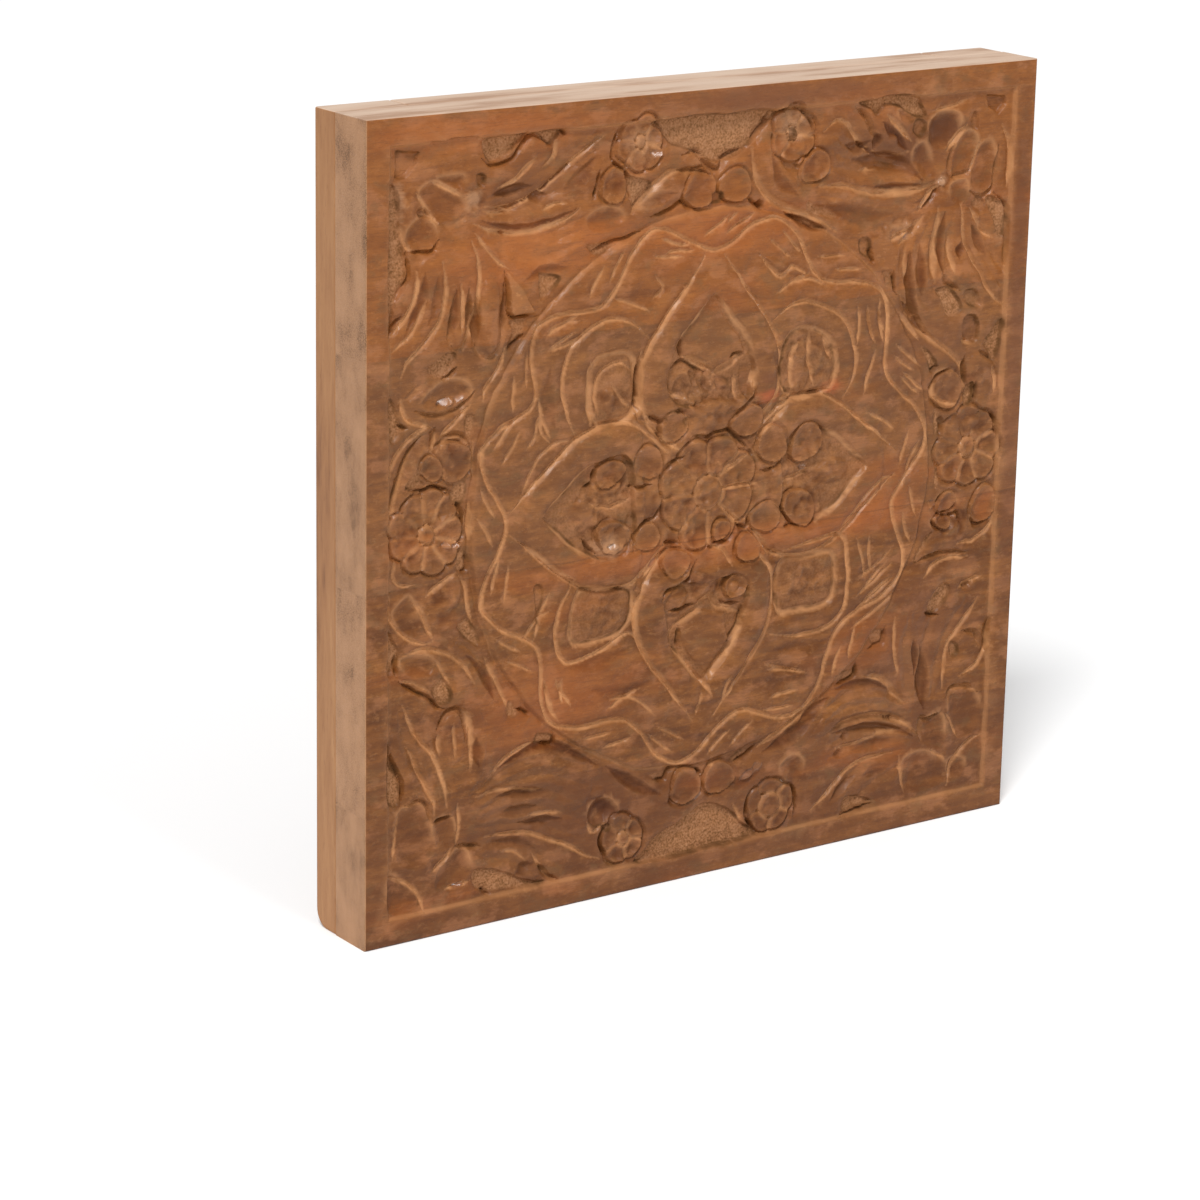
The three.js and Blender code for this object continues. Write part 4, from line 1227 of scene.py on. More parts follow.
def carve_bottom_end():
    carve_end(-1)
    troughs(
        7.0, 3.0,
        (-60, -132.5, -45, -141.5, -35, -148.5, -26, -153),
        (40, -142.5, 52, -138.5, 65, -133, 76, -126.5),
    )
    troughs(6.0, 2.0, (14, -158, 26, -156, 38, -152), (-22, -158, -14, -158))
    scoops(3.6, 6, (-70, -158, -68, -150, -62, -147.5, -55, -151, -52, -157, -57, -161.5, -65, -163.5))
    scoops(1.6, 5, (50, -152, 57, -147, 64, -150, 66, -158, 60, -165, 55, -160))
    relief.lump(-65, -145, 7, 3.6, 0.1, top=-1.4)
    floors(
        4.0, 0.5,
        (-33, -141, -26, -140.5, -20, -143, -23, -147, -29, -145),
        (18, -143, 26, -139, 34, -138, 30, -142, 22, -145),
        (-61, -164, -56, -164, -56, -167.5, -60, -167),
    )
    relief.flower(-48, -172, 12.5, 5, 3.4, 0.1, hollow=1.8)
    relief.flower(45, -172, 14, 5, 6.5, 0.3, hollow=1.1)
    strokes(VEIN, (36, -139.5, 45, -135.5, 55, -131, 65, -126, 76, -118.5))
    strokes(FINE, (-70, -160, -66, -166, -60, -163), (5, -144, 9, -141.5), (21, -167, 24, -171, 27, -177))
    strokes(
        CREASE,
        (-30, -144.5, -23, -146.5, -20, -142, -14, -141),
        (-4, -144, 0, -147.5),
        (20, -145, 30, -142.3, 35.5, -138),
        (31, -165, 30.5, -176, 36, -184.5),
        (58, -163, 62, -172, 60, -181),
        (-60, -165, -62, -173, -57, -181),
    )
    relief.slice((25, -155, 31, -153, 39, -147.5, 35, -152, 30, -155), -2.4, (0.12, -0.4), 1.0)
    relief.slice((-50, -169, -46.5, -169, -46, -171.5, -49, -172), -2.4, (0.15, -0.4), 1.0)


def roughen_flowers():
    """The small carving is broken and uneven inside every flower."""
    relief.rough(0, 0, 29, 29, 0.45)
    for side in (-1, 1):
        relief.rough(side * 166, 2, 22, 22, 0.75)
        for end in (-1, 1):
            relief.rough(side * 46, end * 174, 14, 14, 0.6)
            relief.rough(side * 60, end * 157, 10, 9, 0.4)
            relief.rough(side * 158, end * 35, 24, 14, 0.5)


def polish_cuts():
    """Burnished cuts, scattered where a blade was turned hard against the grain."""
    for cx, cy, long, wide, turn in (
        (-36.5, 171, 4.5, 2, 0),
        (-155, 63.5, 5.5, 2.6, 0.15),
        (-147, 64.5, 3, 1.6, 0.15),
        (29, -152.5, 5, 2.4, 0.45),
        (36, -149, 4, 2, 0.45),
        (-154, -5, 3.4, 1.8, -0.25),
        (-148, -6.5, 3, 1.5, -0.25),
        (-145, -177, 4, 1.5, 0.15),
        (142, 142, 2.5, 2, 0),
        (127, -11, 3.6, 1.5, 0.7),
        (132, -7, 3, 1.3, 0.7),
        (145, -25, 2.5, 1.8, 0),
        (60, 5, 3, 2, 0),
        (122, 116, 3, 1.5, 0.8),
        (-32, -32, 4.5, 1.4, 0.75),
        (-58, -20, 4, 2, 0),
    ):
        relief.polished_cut(cx, cy, long, wide, turn)


def weather():
    """Gouge ripples, stipple marks and wear on the finished carving, with painted shadow beside the pale
    lines and dirt with painted shade in the deep hollows.
    """
    carved = ease((FIELD_HALF + 1 - np.maximum(*np.abs(np.meshgrid(relief.at, relief.at)))) / 2)
    carved *= 1 - 0.9 * relief.masks["polish"]
    ripples = 0.34 * relief.noise(5, 3) + 0.28 * relief.noise(2.0, 5) + 0.15 * relief.noise(1.0, 6)
    relief.height += carved * ripples
    relief.height += 0.04 * relief.noise(2.5, 7)
    relief.height += relief.masks["ground"] * 0.26 * relief.noise(0.75, 11)
    # Painted shadow beside each pale line, on its upper left side, the wall turned from the light
    shift = round(1.3 / relief.spacing)
    beside = np.roll(relief.blurred(relief.masks["vein"], 0.7), (shift, -shift), axis=(0, 1))
    relief.mark("shade", slice(None), 0.6 * np.clip(beside, 0, 1) * (1 - relief.masks["vein"]))
    # Dirt and painted shade in the deep hollows
    hollow = relief.blurred(relief.height, 2.2) - relief.height
    smooth_hollow = relief.blurred(hollow, 0.8)
    uneven = np.clip(0.5 + 0.55 * relief.noise(6.0, 21) + 0.45 * relief.noise(1.5, 22), 0, 1)
    grime = relief.masks["grime"] * uneven
    deep = np.clip(smooth_hollow / 1.6 - 0.45, 0, 0.7) * (1 - relief.masks["vein"]) * uneven
    relief.masks["grime"] = np.maximum(grime, deep * (1 - 0.7 * relief.masks["ground"]))
    relief.mark("worn", slice(None), np.clip(-hollow / 1.4 - 0.2, 0, 0.6))
    for name in ("worn", "vein"):
        relief.masks[name] *= 1 - 0.9 * relief.masks["grime"]
    relief.height = np.minimum(relief.height, -SKIN)


def carve_face():
    """Cuts the whole face, the large forms first."""
    sink_field()
    carve_medallion_edge()
    for k in range(4):
        carve_petal(k)
    carve_arches()
    carve_petal_insides()
    carve_wave()
    carve_top_left()
    carve_top_right()
    carve_bottom_left()
    carve_bottom_right()
    carve_left_flank()
    carve_right_flank()
    carve_top_end()
    carve_bottom_end()
    carve_middle()
    roughen_flowers()
    polish_cuts()
    weather()


carve_face()


# Meshes


def deselect():
    if bpy.context.mode != "OBJECT":
        bpy.ops.object.mode_set(mode="OBJECT")
    bpy.ops.object.select_all(action="DESELECT")


def coordinates(mesh):
    flat = np.empty(len(mesh.vertices) * 3)
    mesh.vertices.foreach_get("co", flat)
    return flat.reshape(-1, 3)


def apply(piece, kind, **settings):
    modifier = piece.modifiers.new(kind.title(), kind)
    for name, value in settings.items():
        setattr(modifier, name, value)
    bpy.ops.object.modifier_apply(modifier=modifier.name)


def finish_piece(piece, name, material, node, angle):
    piece.name = name
    piece.data.name = name
    piece.data.materials.clear()
    piece.data.materials.append(material)
    bpy.ops.object.shade_smooth_by_angle(angle=math.radians(angle))
    apply(piece, "WEIGHTED_NORMAL", keep_sharp=True)
    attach(piece, "root")
    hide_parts(node)
    deselect()
    return piece


def carved_board(material):
    """A fine grid shaped to the relief, its rim pushed back to the board's thickness and closed behind."""
    deselect()
    bpy.ops.mesh.primitive_grid_add(x_subdivisions=GRID_STEPS - 1, y_subdivisions=GRID_STEPS - 1, size=2)
    board = bpy.context.object
    flat = coordinates(board.data)
    x, y = flat[:, 0] * DRAWN_HALF, flat[:, 1] * DRAWN_HALF
    face = np.empty_like(flat)
    face[:, 0] = flat[:, 0] * HALF_WIDTH
    face[:, 1] = FACE_Y - relief.read(relief.height, x, y) * MM
    face[:, 2] = MIDDLE_Z + flat[:, 1] * HALF_HEIGHT
    board.data.vertices.foreach_set("co", face.ravel())
    board.data.update()
    bpy.ops.object.mode_set(mode="EDIT")
    bpy.ops.mesh.select_mode(type="EDGE")
    bpy.ops.mesh.select_all(action="DESELECT")
    bpy.ops.mesh.select_non_manifold()
    thickness = BOARD_HIGH[1] - BOARD_LOW[1]
    bpy.ops.mesh.extrude_region_move(TRANSFORM_OT_translate={"value": (0, thickness, 0)})
    back = (0, BOARD_HIGH[1], MIDDLE_Z)
    bpy.ops.transform.resize(value=(1, 0, 1), center_override=back)
    bpy.ops.mesh.edge_face_add()
    bpy.ops.mesh.select_all(action="SELECT")
    bpy.ops.mesh.quads_convert_to_tris()
    bpy.ops.mesh.normals_make_consistent(inside=False)
    bpy.ops.object.mode_set(mode="OBJECT")
    apply(board, "DECIMATE", ratio=BOARD_TRIANGLES / len(board.data.polygons))
    place = coordinates(board.data)
    x = place[:, 0] / HALF_WIDTH * DRAWN_HALF
    y = (place[:, 2] - MIDDLE_Z) / HALF_HEIGHT * DRAWN_HALF
    on_face = place[:, 1] < FACE_Y + 0.3 * thickness
    for name, field in relief.masks.items():
        values = np.where(on_face, relief.read(field, x, y), 0)
        attribute = board.data.attributes.new(name, "FLOAT", "POINT")
        attribute.data.foreach_set("value", values.astype(np.float32))
    return finish_piece(board, "carved_board_relief", material, "carved_board", 55)


def batten(node, material, foot_radius):
    """Sawn batten with softened edges, its lower back corner rounded where it is the panel's foot."""
    deselect()
    low, high = (Vector(corner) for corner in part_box(node))
    size = high - low
    middle = (low + high) / 2
    bpy.ops.mesh.primitive_cube_add(size=1, location=(0, 0, 0))
    piece = bpy.context.object
    bpy.ops.object.mode_set(mode="EDIT")
    bpy.ops.mesh.select_all(action="SELECT")
    bpy.ops.transform.resize(value=size, center_override=(0, 0, 0))
    bpy.ops.transform.translate(value=middle)
    bpy.ops.object.mode_set(mode="OBJECT")

    def select_edges(wanted):
        for edge in piece.data.edges:
            ends = [piece.data.vertices[i].co for i in edge.vertices]
            edge.select = wanted(*ends)
        bpy.ops.object.mode_set(mode="EDIT")
        bpy.ops.mesh.select_mode(type="EDGE")

    def is_foot(a, b):
        return all(abs(p.z - low.z) < 1e-5 and abs(p.y - high.y) < 1e-5 for p in (a, b))

    for face in piece.data.polygons:
        face.select = False
    for vertex in piece.data.vertices:
        vertex.select = False
    if foot_radius:
        select_edges(is_foot)
        bpy.ops.mesh.bevel(offset=foot_radius, segments=8, affect="EDGES")
        bpy.ops.object.mode_set(mode="OBJECT")
    apply(piece, "BEVEL", width=0.9 * MM, segments=3, limit_method="ANGLE", angle_limit=math.radians(40))
    return finish_piece(piece, node + "_sawn", material, node, 35)


# Materials


class Value:
    """A socket in a material's nodes. Arithmetic on it adds the Math nodes."""

    def __init__(self, tree, socket):
        self.tree = tree
        self.socket = socket

    def node(self, kind, settings=None, sockets=None, output=0):
        """Adds a node: its settings first, then the values or links of its sockets."""
        new = self.tree.nodes.new(kind)
        for name, setting in (settings or {}).items():
            if name == "stops":
                ramp = new.color_ramp
                while len(ramp.elements) < len(setting):
                    ramp.elements.new(0.5)
                for element, (at, color) in zip(ramp.elements, setting):
                    element.position = at
                    element.color = (*color, 1)
            else:
                setattr(new, name, setting)
        for name, value in (sockets or {}).items():
            if isinstance(value, Value):
                self.tree.links.new(value.socket, new.inputs[name])
            else:
                new.inputs[name].default_value = value
        return Value(self.tree, new.outputs[output])

    def maths(self, operation, *values):
        return self.node("ShaderNodeMath", {"operation": operation}, dict(enumerate(values)))

    def __abs__(self):
        return self.maths("ABSOLUTE", self)

    def __add__(self, other):
        return self.maths("ADD", self, other)

    def __sub__(self, other):
        return self.maths("SUBTRACT", self, other)

    def __rsub__(self, other):
        return self.maths("SUBTRACT", other, self)

    def __mul__(self, other):
        return self.maths("MULTIPLY", self, other)

    __radd__ = __add__
    __rmul__ = __mul__

    def above(self, low, high):
        """0 below low, 1 above high and a soft step between."""
        sockets = {"Value": self, "From Min": low, "From Max": high}
        return self.node("ShaderNodeMapRange", {"interpolation_type": "SMOOTHSTEP"}, sockets)

    def tint(self, amount, color):
        """This colour mixed towards another by an amount."""
        settings = {"data_type": "RGBA"}
        return self.node("ShaderNodeMix", settings, {0: amount, 6: self, 7: color}, output=2)

    def times(self, amount, color):
        """This colour multiplied by another by an amount."""
        settings = {"data_type": "RGBA", "blend_type": "MULTIPLY"}
        return self.node("ShaderNodeMix", settings, {0: amount, 6: self, 7: color}, output=2)


def linear(red, green, blue):
    """Colour of the finish, given as a picture's red, green and blue from 0 to 255."""
    parts = [c / 255 for c in (red, green, blue)]
    return tuple(c / 12.92 if c <= 0.04045 else ((c + 0.055) / 1.055) ** 2.4 for c in parts)


def full(color):
    return (*color, 1)


GRAIN_STRETCH = {"X": (1, 8, 8), "Z": (8, 8, 1)}


def new_material(name, coat_roughness=0.25, coat=0.0):
    """A material with its shader, and the place on the object that its patterns follow."""
    material = bpy.data.materials.new(name)
    material.use_nodes = True
    tree = material.node_tree
    shader = tree.nodes["Principled BSDF"]
    shader.inputs["Coat Roughness"].default_value = coat_roughness
    shader.inputs["Coat Weight"].default_value = coat
    shader.inputs["Specular IOR Level"].default_value = 0.18
    place = Value(tree, tree.nodes.new("ShaderNodeTexCoord").outputs["Object"])
    return material, shader, place


def noise(place, scale, detail=3, roughness=0.55, offset=(0, 0, 0), distortion=0.0, stretch=(1, 1, 1)):
    """Noise over the object, with the scale in patches a metre along each axis."""
    sockets = {"Vector": place, "Location": offset, "Scale": stretch}
    where = place.node("ShaderNodeMapping", None, sockets)
    sockets = {"Vector": where, "Scale": scale, "Detail": detail}
    sockets |= {"Roughness": roughness, "Distortion": distortion}
    return place.node("ShaderNodeTexNoise", None, sockets)


def link(value, shader, name):
    value.tree.links.new(value.socket, shader.inputs[name])


def axis(place, name):
    return place.node("ShaderNodeSeparateXYZ", None, {"Vector": place}, output=name)


def bump(place, height, distance, strength, normal=None):
    sockets = {"Height": height, "Distance": distance, "Strength": strength}
    if normal:
        sockets["Normal"] = normal
    return place.node("ShaderNodeBump", None, sockets)


def paint_top_light(tone, place):
    """The panel's upper edge is bare wood painted paler as a painted highlight from the light above, with
    faint streaks along it.
    """
    top = axis(place, "Z").above(BOARD_HIGH[2] - 0.0005, BOARD_HIGH[2] - 0.0002)
    top_light = place.node(
        "ShaderNodeValToRGB",
        {"stops": (
            (0.35, linear(176, 140, 114)),
            (0.48, linear(202, 172, 148)),
            (0.7, linear(212, 186, 164)),
        )},
        {"Fac": noise(place, 12, 4, 0.6, stretch=(1, 7, 1))},
    )
    return tone.tint(top, top_light)


# Finishes that oil, handling and the wood itself leave in places; the oiled tone also paints shade into some
# deep channels and hollows, and the pale one paints highlights on some hubs and glints
OILED_AND_PAINTED_SHADE = (88, 48, 22)
BROWN = (108, 64, 38)
ORANGE = (164, 90, 40)
RED = (172, 84, 44)
PALE_AND_PAINTED_HIGHLIGHT = (184, 144, 110)

# Tones of the planks, the wear and the dirt; the wear and cut wall tones also paint highlights, and the dirt
# tone also paints shade in the crevices
SCUFFED = (172, 120, 74)
GREY_PLANK = (136, 92, 58)
DARK_PLANK = (96, 56, 30)
WARM_PLANK = (158, 92, 42)
RUST = (154, 82, 30)
PINKISH = (168, 112, 74)
OLIVE = (104, 74, 44)
DEEP_BROWN = (92, 52, 24)
PORE = (80, 46, 26)
WORN_AND_HIGHLIGHT = (180, 124, 78)
CUT_WALL_AND_HIGHLIGHT = (188, 134, 88)
DIRT_AND_PAINTED_SHADE = (74, 47, 20)
JOINT = (70, 44, 24)

# Heights of the joints between the planks, from the middle
PLANK_JOINTS = (-131, -22, 90)

# The stains and painted light patches reach no deeper than the carving, and fade over this much more
PATCH_DEPTH = 9 * MM
PATCH_FADE = 4 * MM

# Where the stains and painted light lie: middle and half axes in millimetres, strength and finish; the oiled
# patches in the deep channels and hollows are painted shade, the pale ones on hubs and glints painted
# highlights
STAINS_AND_PAINTED_LIGHT = (
    (0, -29, 150, 9, 0.4, ORANGE),
    (104, -24, 26, 12, 0.4, ORANGE),
    (35, 44, 7, 4, 0.6, RED),
    (76, 44, 6, 4, 0.5, RED),
    (35, 54, 6, 3, 0.5, BROWN),
    (-128, 190, 70, 9, 0.4, ORANGE),
    (108, 162, 40, 15, 0.75, OILED_AND_PAINTED_SHADE),
    (143, 170, 13, 9, 0.7, OILED_AND_PAINTED_SHADE),
    (193, 130, 7, 60, 0.55, OILED_AND_PAINTED_SHADE),
    (-75, -152, 60, 22, 0.5, OILED_AND_PAINTED_SHADE),
    (-60, -155, 16, 10, 0.5, OILED_AND_PAINTED_SHADE),
    (135, -100, 34, 34, 0.4, BROWN),
    (-112, 160, 24, 6, 0.5, OILED_AND_PAINTED_SHADE),
    (-110, 130, 46, 16, 0.45, ORANGE),
    (-90, -92, 60, 22, 0.4, ORANGE),
    (0, 130, 70, 14, 0.4, ORANGE),
    (10, -188, 90, 8, 0.35, OILED_AND_PAINTED_SHADE),
    (40, 194, 80, 7, 0.7, BROWN),
    (-150, 35, 8, 7, 0.5, OILED_AND_PAINTED_SHADE),
    (152, 33, 8, 7, 0.5, OILED_AND_PAINTED_SHADE),
    (154, -26, 6, 4, 0.5, BROWN),
    (179, -32, 7, 9, 0.4, ORANGE),
    (194, 20, 6, 110, 0.5, BROWN),
    (130, 60, 40, 26, 0.3, BROWN),
    (-45, 176, 11, 8, 0.35, PALE_AND_PAINTED_HIGHLIGHT),
    (46, 177, 10, 8, 0.4, PALE_AND_PAINTED_HIGHLIGHT),
    (-140, 158, 5, 6, 0.4, PALE_AND_PAINTED_HIGHLIGHT),
    (-182, 160, 4, 9, 0.4, PALE_AND_PAINTED_HIGHLIGHT),
    (142, 142, 3, 3, 0.5, PALE_AND_PAINTED_HIGHLIGHT),
    (118, 119, 11, 5, 0.3, PALE_AND_PAINTED_HIGHLIGHT),
    (-42, 152, 9, 7, 0.35, PALE_AND_PAINTED_HIGHLIGHT),
    (183, 118, 4, 14, 0.25, PALE_AND_PAINTED_HIGHLIGHT),
    (0, 178, 26, 8, 0.25, PALE_AND_PAINTED_HIGHLIGHT),
    (-60, -20, 9, 6, 0.4, PALE_AND_PAINTED_HIGHLIGHT),
)


def patch(place, x, z, wide, high):
    """1 in the middle of an oval place on the face, fading to 0 unevenly beyond it."""
    middle = (-x * MM / (wide * MM), 0, -(MIDDLE_Z + z * MM) / (high * MM))
    sockets = {"Vector": place, "Location": middle, "Scale": (1 / (wide * MM), 0, 1 / (high * MM))}
    where = place.node("ShaderNodeMapping", None, sockets)
    away = place.node("ShaderNodeVectorMath", {"operation": "LENGTH"}, {0: where}, output="Value")
    broken = noise(place, min(max(1 / (wide * MM), 30), 250), 4, 0.65, stretch=(1, 1, 2))
    return 1 - (away + broken * 1.6).above(1.1, 2.2)


def carved_wood():
    """Oiled hardwood planks glued edge to edge, paler on cut walls and end grain, dark in the crevices with
    dirt and painted shade, with painted shade in hollows, painted highlights on some rims and facets and a
    painted highlight on the top.
    """
    material, shader, place = new_material("carved_wood", 0.22, 0.25)

    def mask(name):
        return place.node("ShaderNodeAttribute", {"attribute_name": name}, output="Fac")

    ground, vein, worn, grime, shade, polish = (mask(name) for name in MASKS)
    height = axis(place, "Z")
    joints = [MIDDLE_Z + z * MM for z in PLANK_JOINTS]
    wander = noise(place, 9, 1, stretch=(1, 1, 0.2)) * 0.004
    planks = [(height + wander).above(joint - 0.0004, joint + 0.0004) for joint in joints]
    shift = planks[0] * 0.31 + planks[1] * 0.47 + planks[2] * 0.23
    moved = place.node("ShaderNodeCombineXYZ", None, {"X": shift, "Y": shift * 2.0, "Z": shift * 0.7})
    place_in_plank = place.node("ShaderNodeVectorMath", {"operation": "ADD"}, {0: place, 1: moved})
    streaks = noise(place_in_plank, 7, 3, 0.6, distortion=0.35, stretch=(1, 5, 9))
    figure = noise(place_in_plank, 22, 4, 0.6, distortion=0.5, stretch=(1, 6, 12))
    grain = noise(place_in_plank, 90, 4, 0.65, stretch=(1, 12, 14))
    pores = noise(place_in_plank, 260, 2, 0.6, stretch=(1, 9, 9))
    tone = place.node(
        "ShaderNodeValToRGB",
        {"stops": (
            (0.28, linear(83, 44, 14)),
            (0.43, linear(111, 65, 26)),
            (0.56, linear(129, 79, 35)),
            (0.74, linear(150, 96, 46)),
        )},
        {"Fac": streaks * 0.6 + figure * 0.4},
    )
    blotches = noise(place, 85, 4, 0.65, stretch=(1, 1, 2.2)).above(0.40, 0.62)
    tone = tone.times((1 - blotches) * 0.75, full((0.60, 0.54, 0.44)))
    scuffs = noise(place, 240, 4, 0.7, offset=(0.3, 0, 0.1), stretch=(1, 1, 1.8)).above(0.52, 0.68)
    tone = tone.tint(scuffs * 0.22, full(linear(*SCUFFED)))
    tone = tone.tint((planks[1] - planks[2]) * 0.22, full(linear(*GREY_PLANK)))
    tone = tone.tint((1 - planks[0]) * 0.40, full(linear(*DARK_PLANK)))
    tone = tone.tint(planks[2] * 0.30, full(linear(*WARM_PLANK)))
    across = axis(place, "X")
    orange = noise(place, 11, 2, 0.5, offset=(0.4, 0, 0.2), stretch=(1, 1, 3)).above(0.58, 0.74)
    tone = tone.tint(orange * 0.35, full(linear(*RUST)))
    pinkish = noise(place, 55, 4, 0.6, offset=(0.7, 0, 0.5), stretch=(1, 1, 1.6)).above(0.50, 0.64)
    tone = tone.tint(pinkish * 0.34, full(linear(*PINKISH)))
    olive = noise(place, 48, 4, 0.65, offset=(0.1, 0, 0.9), stretch=(1, 1, 1.8)).above(0.52, 0.66)
    tone = tone.tint(olive * 0.42, full(linear(*OLIVE)))
    bands = noise(place_in_plank, 16, 3, 0.6, offset=(0.2, 0, 0.6), stretch=(1, 1, 9)).above(0.50, 0.66)
    tone = tone.tint((1 - planks[1]) * bands * 0.40, full(linear(*DEEP_BROWN)))
    front = 1 - axis(place, "Y").above(FACE_Y + PATCH_DEPTH, FACE_Y + PATCH_DEPTH + PATCH_FADE)
    # Stain patches, with painted shade in some hollows and painted highlights on some hubs and glints
    for x, z, wide, high, amount, color in STAINS_AND_PAINTED_LIGHT:
        tone = tone.tint(front * patch(place, x, z, wide, high) * amount, full(linear(*color)))
    dark_streak = grain.above(0.50, 0.70)
    tone = tone.tint(dark_streak * 0.35, full(linear(*DARK_PLANK)))
    tone = tone.tint(pores.above(0.60, 0.72) * 0.35, full(linear(*PORE)))
    speckle = noise(place, 900, 2, 0.5)
    # Painted shade in hollows and beside the pale lines
    tone = tone.times(shade * (0.5 + noise(place, 30, 2) * 0.5), full((0.52, 0.40, 0.26)))
    # Pale wear, and a painted highlight on the facets that shine
    tone = tone.tint(worn * (0.25 + scuffs * 0.3), full(linear(*WORN_AND_HIGHLIGHT)))
    # Pale cut walls, and a painted highlight on the upper rims of hollowed leaves
    tone = tone.tint(vein * (0.36 + noise(place, 60, 3) * 0.85), full(linear(*CUT_WALL_AND_HIGHLIGHT)))
    ground_tone = place.node(
        "ShaderNodeValToRGB",
        {"stops": ((0.36, linear(112, 76, 44)), (0.48, linear(148, 102, 66)), (0.64, linear(172, 124, 88)))},
        {"Fac": speckle * 0.7 + noise(place, 300, 2) * 0.3},
    )
    tone = tone.tint(ground * 0.75, ground_tone)
    # Dirt and painted shade in the crevices
    dirt_and_painted_shade = (grime * (0.55 + noise(place, 160, 3) * 0.9)).above(0.15, 0.95)
    tone = tone.tint(dirt_and_painted_shade * 0.8, full(linear(*DIRT_AND_PAINTED_SHADE)))
    joint_line = 1 - abs(height + wander - joints[1]).above(0.0001, 0.0007)
    tone = tone.tint(joint_line * 0.22, full(linear(*JOINT)))
    side = abs(across).above(HALF_WIDTH - 0.0006, HALF_WIDTH - 0.0003)
    end_grain = place.node(
        "ShaderNodeValToRGB",
        {"stops": ((0.34, linear(104, 72, 46)), (0.46, linear(160, 118, 84)), (0.62, linear(178, 134, 98)))},
        {"Fac": noise(place_in_plank, 60, 3, 0.6, stretch=(1, 1.2, 0.6)) * 0.55 + pores * 0.45},
    )
    tone = tone.tint(side, end_grain)
    # Painted highlight on the top faces
    link(paint_top_light(tone, place), shader, "Base Color")
    link(0.48 + figure * 0.16 + dirt_and_painted_shade * 0.30 + ground * 0.25 - polish * 0.2, shader, "Roughness")
    link((1 - dirt_and_painted_shade) * (1 - ground) * (1 - shade) * 0.14 + polish * 0.7, shader, "Coat Weight")
    fine = bump(place, grain * 0.4 + pores * 0.3 + scuffs * 0.3, 0.0004, 0.8)
    link(bump(place, speckle * ground, 0.0006, 0.8, fine), shader, "Normal")
    return material


def batten_wood(name, along):
    """Paler straight-grained wood, with its grain along the batten and a painted highlight on its top faces.
    """
    material, shader, place = new_material(name, 0.3, 0.15)
    stretch = GRAIN_STRETCH[along]
    streaks = noise(place, 9, 3, 0.6, distortion=0.3, stretch=stretch)
    grain = noise(place, 42, 4, 0.65, stretch=stretch)
    pores = noise(place, 150, 2, 0.6, stretch=stretch)
    tone = place.node(
        "ShaderNodeValToRGB",
        {"stops": (
            (0.30, linear(122, 78, 46)),
            (0.46, linear(156, 108, 68)),
            (0.62, linear(170, 122, 80)),
            (0.76, linear(184, 138, 96)),
        )},
        {"Fac": streaks * 0.6 + grain * 0.4},
    )
    tone = tone.tint(pores.above(0.58, 0.72) * 0.4, full(linear(118, 76, 46)))
    # Painted highlight on the top faces
    link(paint_top_light(tone, place), shader, "Base Color")
    link(0.46 + streaks * 0.18, shader, "Roughness")
    link(bump(place, grain * 0.6 + pores * 0.4, 0.00025, 0.6), shader, "Normal")
    return material


board_wood = carved_wood()
upright_wood = batten_wood("batten_wood_upright", "Z")
level_wood = batten_wood("batten_wood_level", "X")
FOOT_RADIUS = 9 * MM

carved_board(board_wood)
batten("left_stile", upright_wood, FOOT_RADIUS)
batten("right_stile", upright_wood, FOOT_RADIUS)
batten("top_rail", level_wood, 0)
batten("bottom_rail", level_wood, FOOT_RADIUS)


# Floor, light and camera


# Turn round the panel, height over it and roll, in degrees, and the place of the lens
CAMERA_TURN = (-35.50, 16.34, 1.11)
CAMERA_PLACE = (-1.108, -1.483, 0.681)
LENS = 115.4
SENSOR = 36

SKY_STRENGTH = 0.42
SUN_STRENGTH = 2.7
SUN_SPREAD = 18
TOWARDS_SUN = (-0.42, -0.40, 0.82)


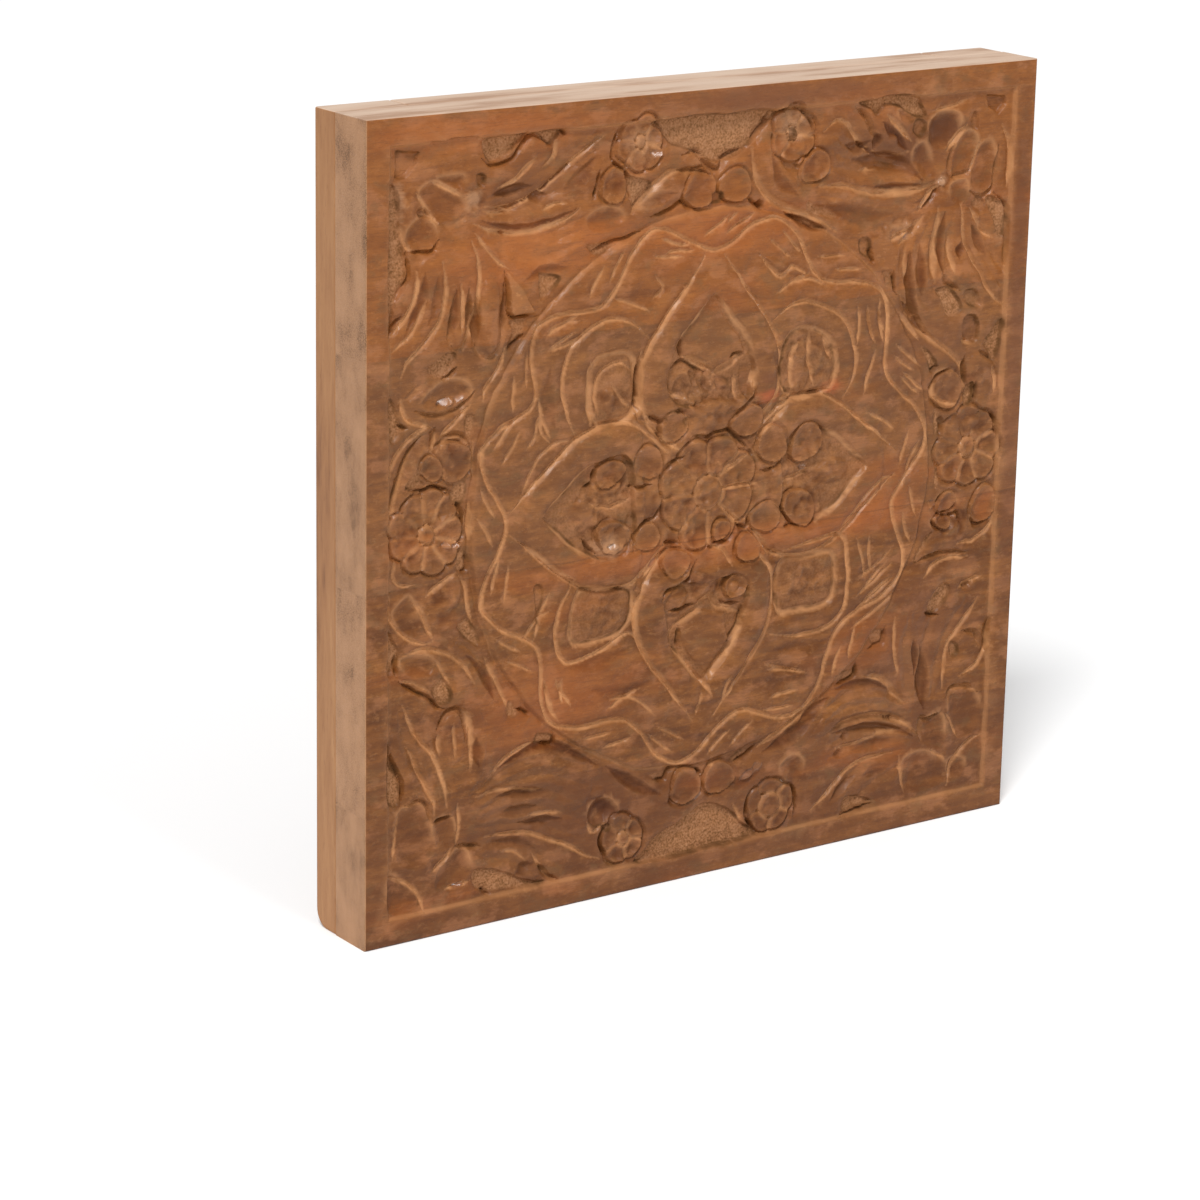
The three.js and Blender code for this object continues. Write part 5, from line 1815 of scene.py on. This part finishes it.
def pale_floor():
    deselect()
    bpy.ops.mesh.primitive_plane_add(size=12, location=(0, 0, 0))
    floor = bpy.context.object
    floor.name = "floor"
    material, shader, _ = new_material("pale_floor")
    shader.inputs["Base Color"].default_value = (0.93, 0.93, 0.93, 1)
    shader.inputs["Roughness"].default_value = 0.9
    floor.data.materials.append(material)


def area_light(name, place, aim, size, power):
    light = bpy.data.lights.new(name, "AREA")
    light.shape = "RECTANGLE"
    light.size, light.size_y = size
    light.energy = power
    lamp = bpy.data.objects.new(name, light)
    lamp.location = place
    lamp.rotation_euler = (Vector(aim) - Vector(place)).to_track_quat("-Z", "Y").to_euler()
    bpy.context.scene.collection.objects.link(lamp)


def studio():
    world = bpy.data.worlds.new("studio")
    world.use_nodes = True
    world.node_tree.nodes["Background"].inputs["Color"].default_value = (1, 1, 1, 1)
    world.node_tree.nodes["Background"].inputs["Strength"].default_value = SKY_STRENGTH
    bpy.context.scene.world = world
    sun = bpy.data.lights.new("overhead", "SUN")
    sun.energy = SUN_STRENGTH
    sun.angle = math.radians(SUN_SPREAD)
    overhead = bpy.data.objects.new("overhead", sun)
    overhead.rotation_euler = Vector(TOWARDS_SUN).to_track_quat("Z", "Y").to_euler()
    bpy.context.scene.collection.objects.link(overhead)
    area_light("glint", (-0.05, -1.4, 1.0), (0, 0, 0.2), (0.35, 0.25), 6)
    bpy.context.scene.view_settings.view_transform = "Standard"


def camera():
    """The photograph's view: from the left of the face and a little above it."""
    azimuth, elevation, roll = (math.radians(a) for a in CAMERA_TURN)
    back = Vector((
        math.sin(azimuth) * math.cos(elevation),
        -math.cos(azimuth) * math.cos(elevation),
        math.sin(elevation),
    ))
    right = Vector((math.cos(azimuth), math.sin(azimuth), 0))
    up = back.cross(right)
    turned_right = right * math.cos(roll) + up * math.sin(roll)
    turned_up = up * math.cos(roll) - right * math.sin(roll)
    data = bpy.data.cameras.new("camera")
    data.sensor_width = SENSOR
    data.lens = LENS
    eye = bpy.data.objects.new("camera", data)
    eye.matrix_world = Matrix.Translation(CAMERA_PLACE) @ Matrix(
        (turned_right, turned_up, back)
    ).transposed().to_4x4()
    bpy.context.scene.collection.objects.link(eye)
    bpy.context.scene.camera = eye


pale_floor()
studio()
camera()
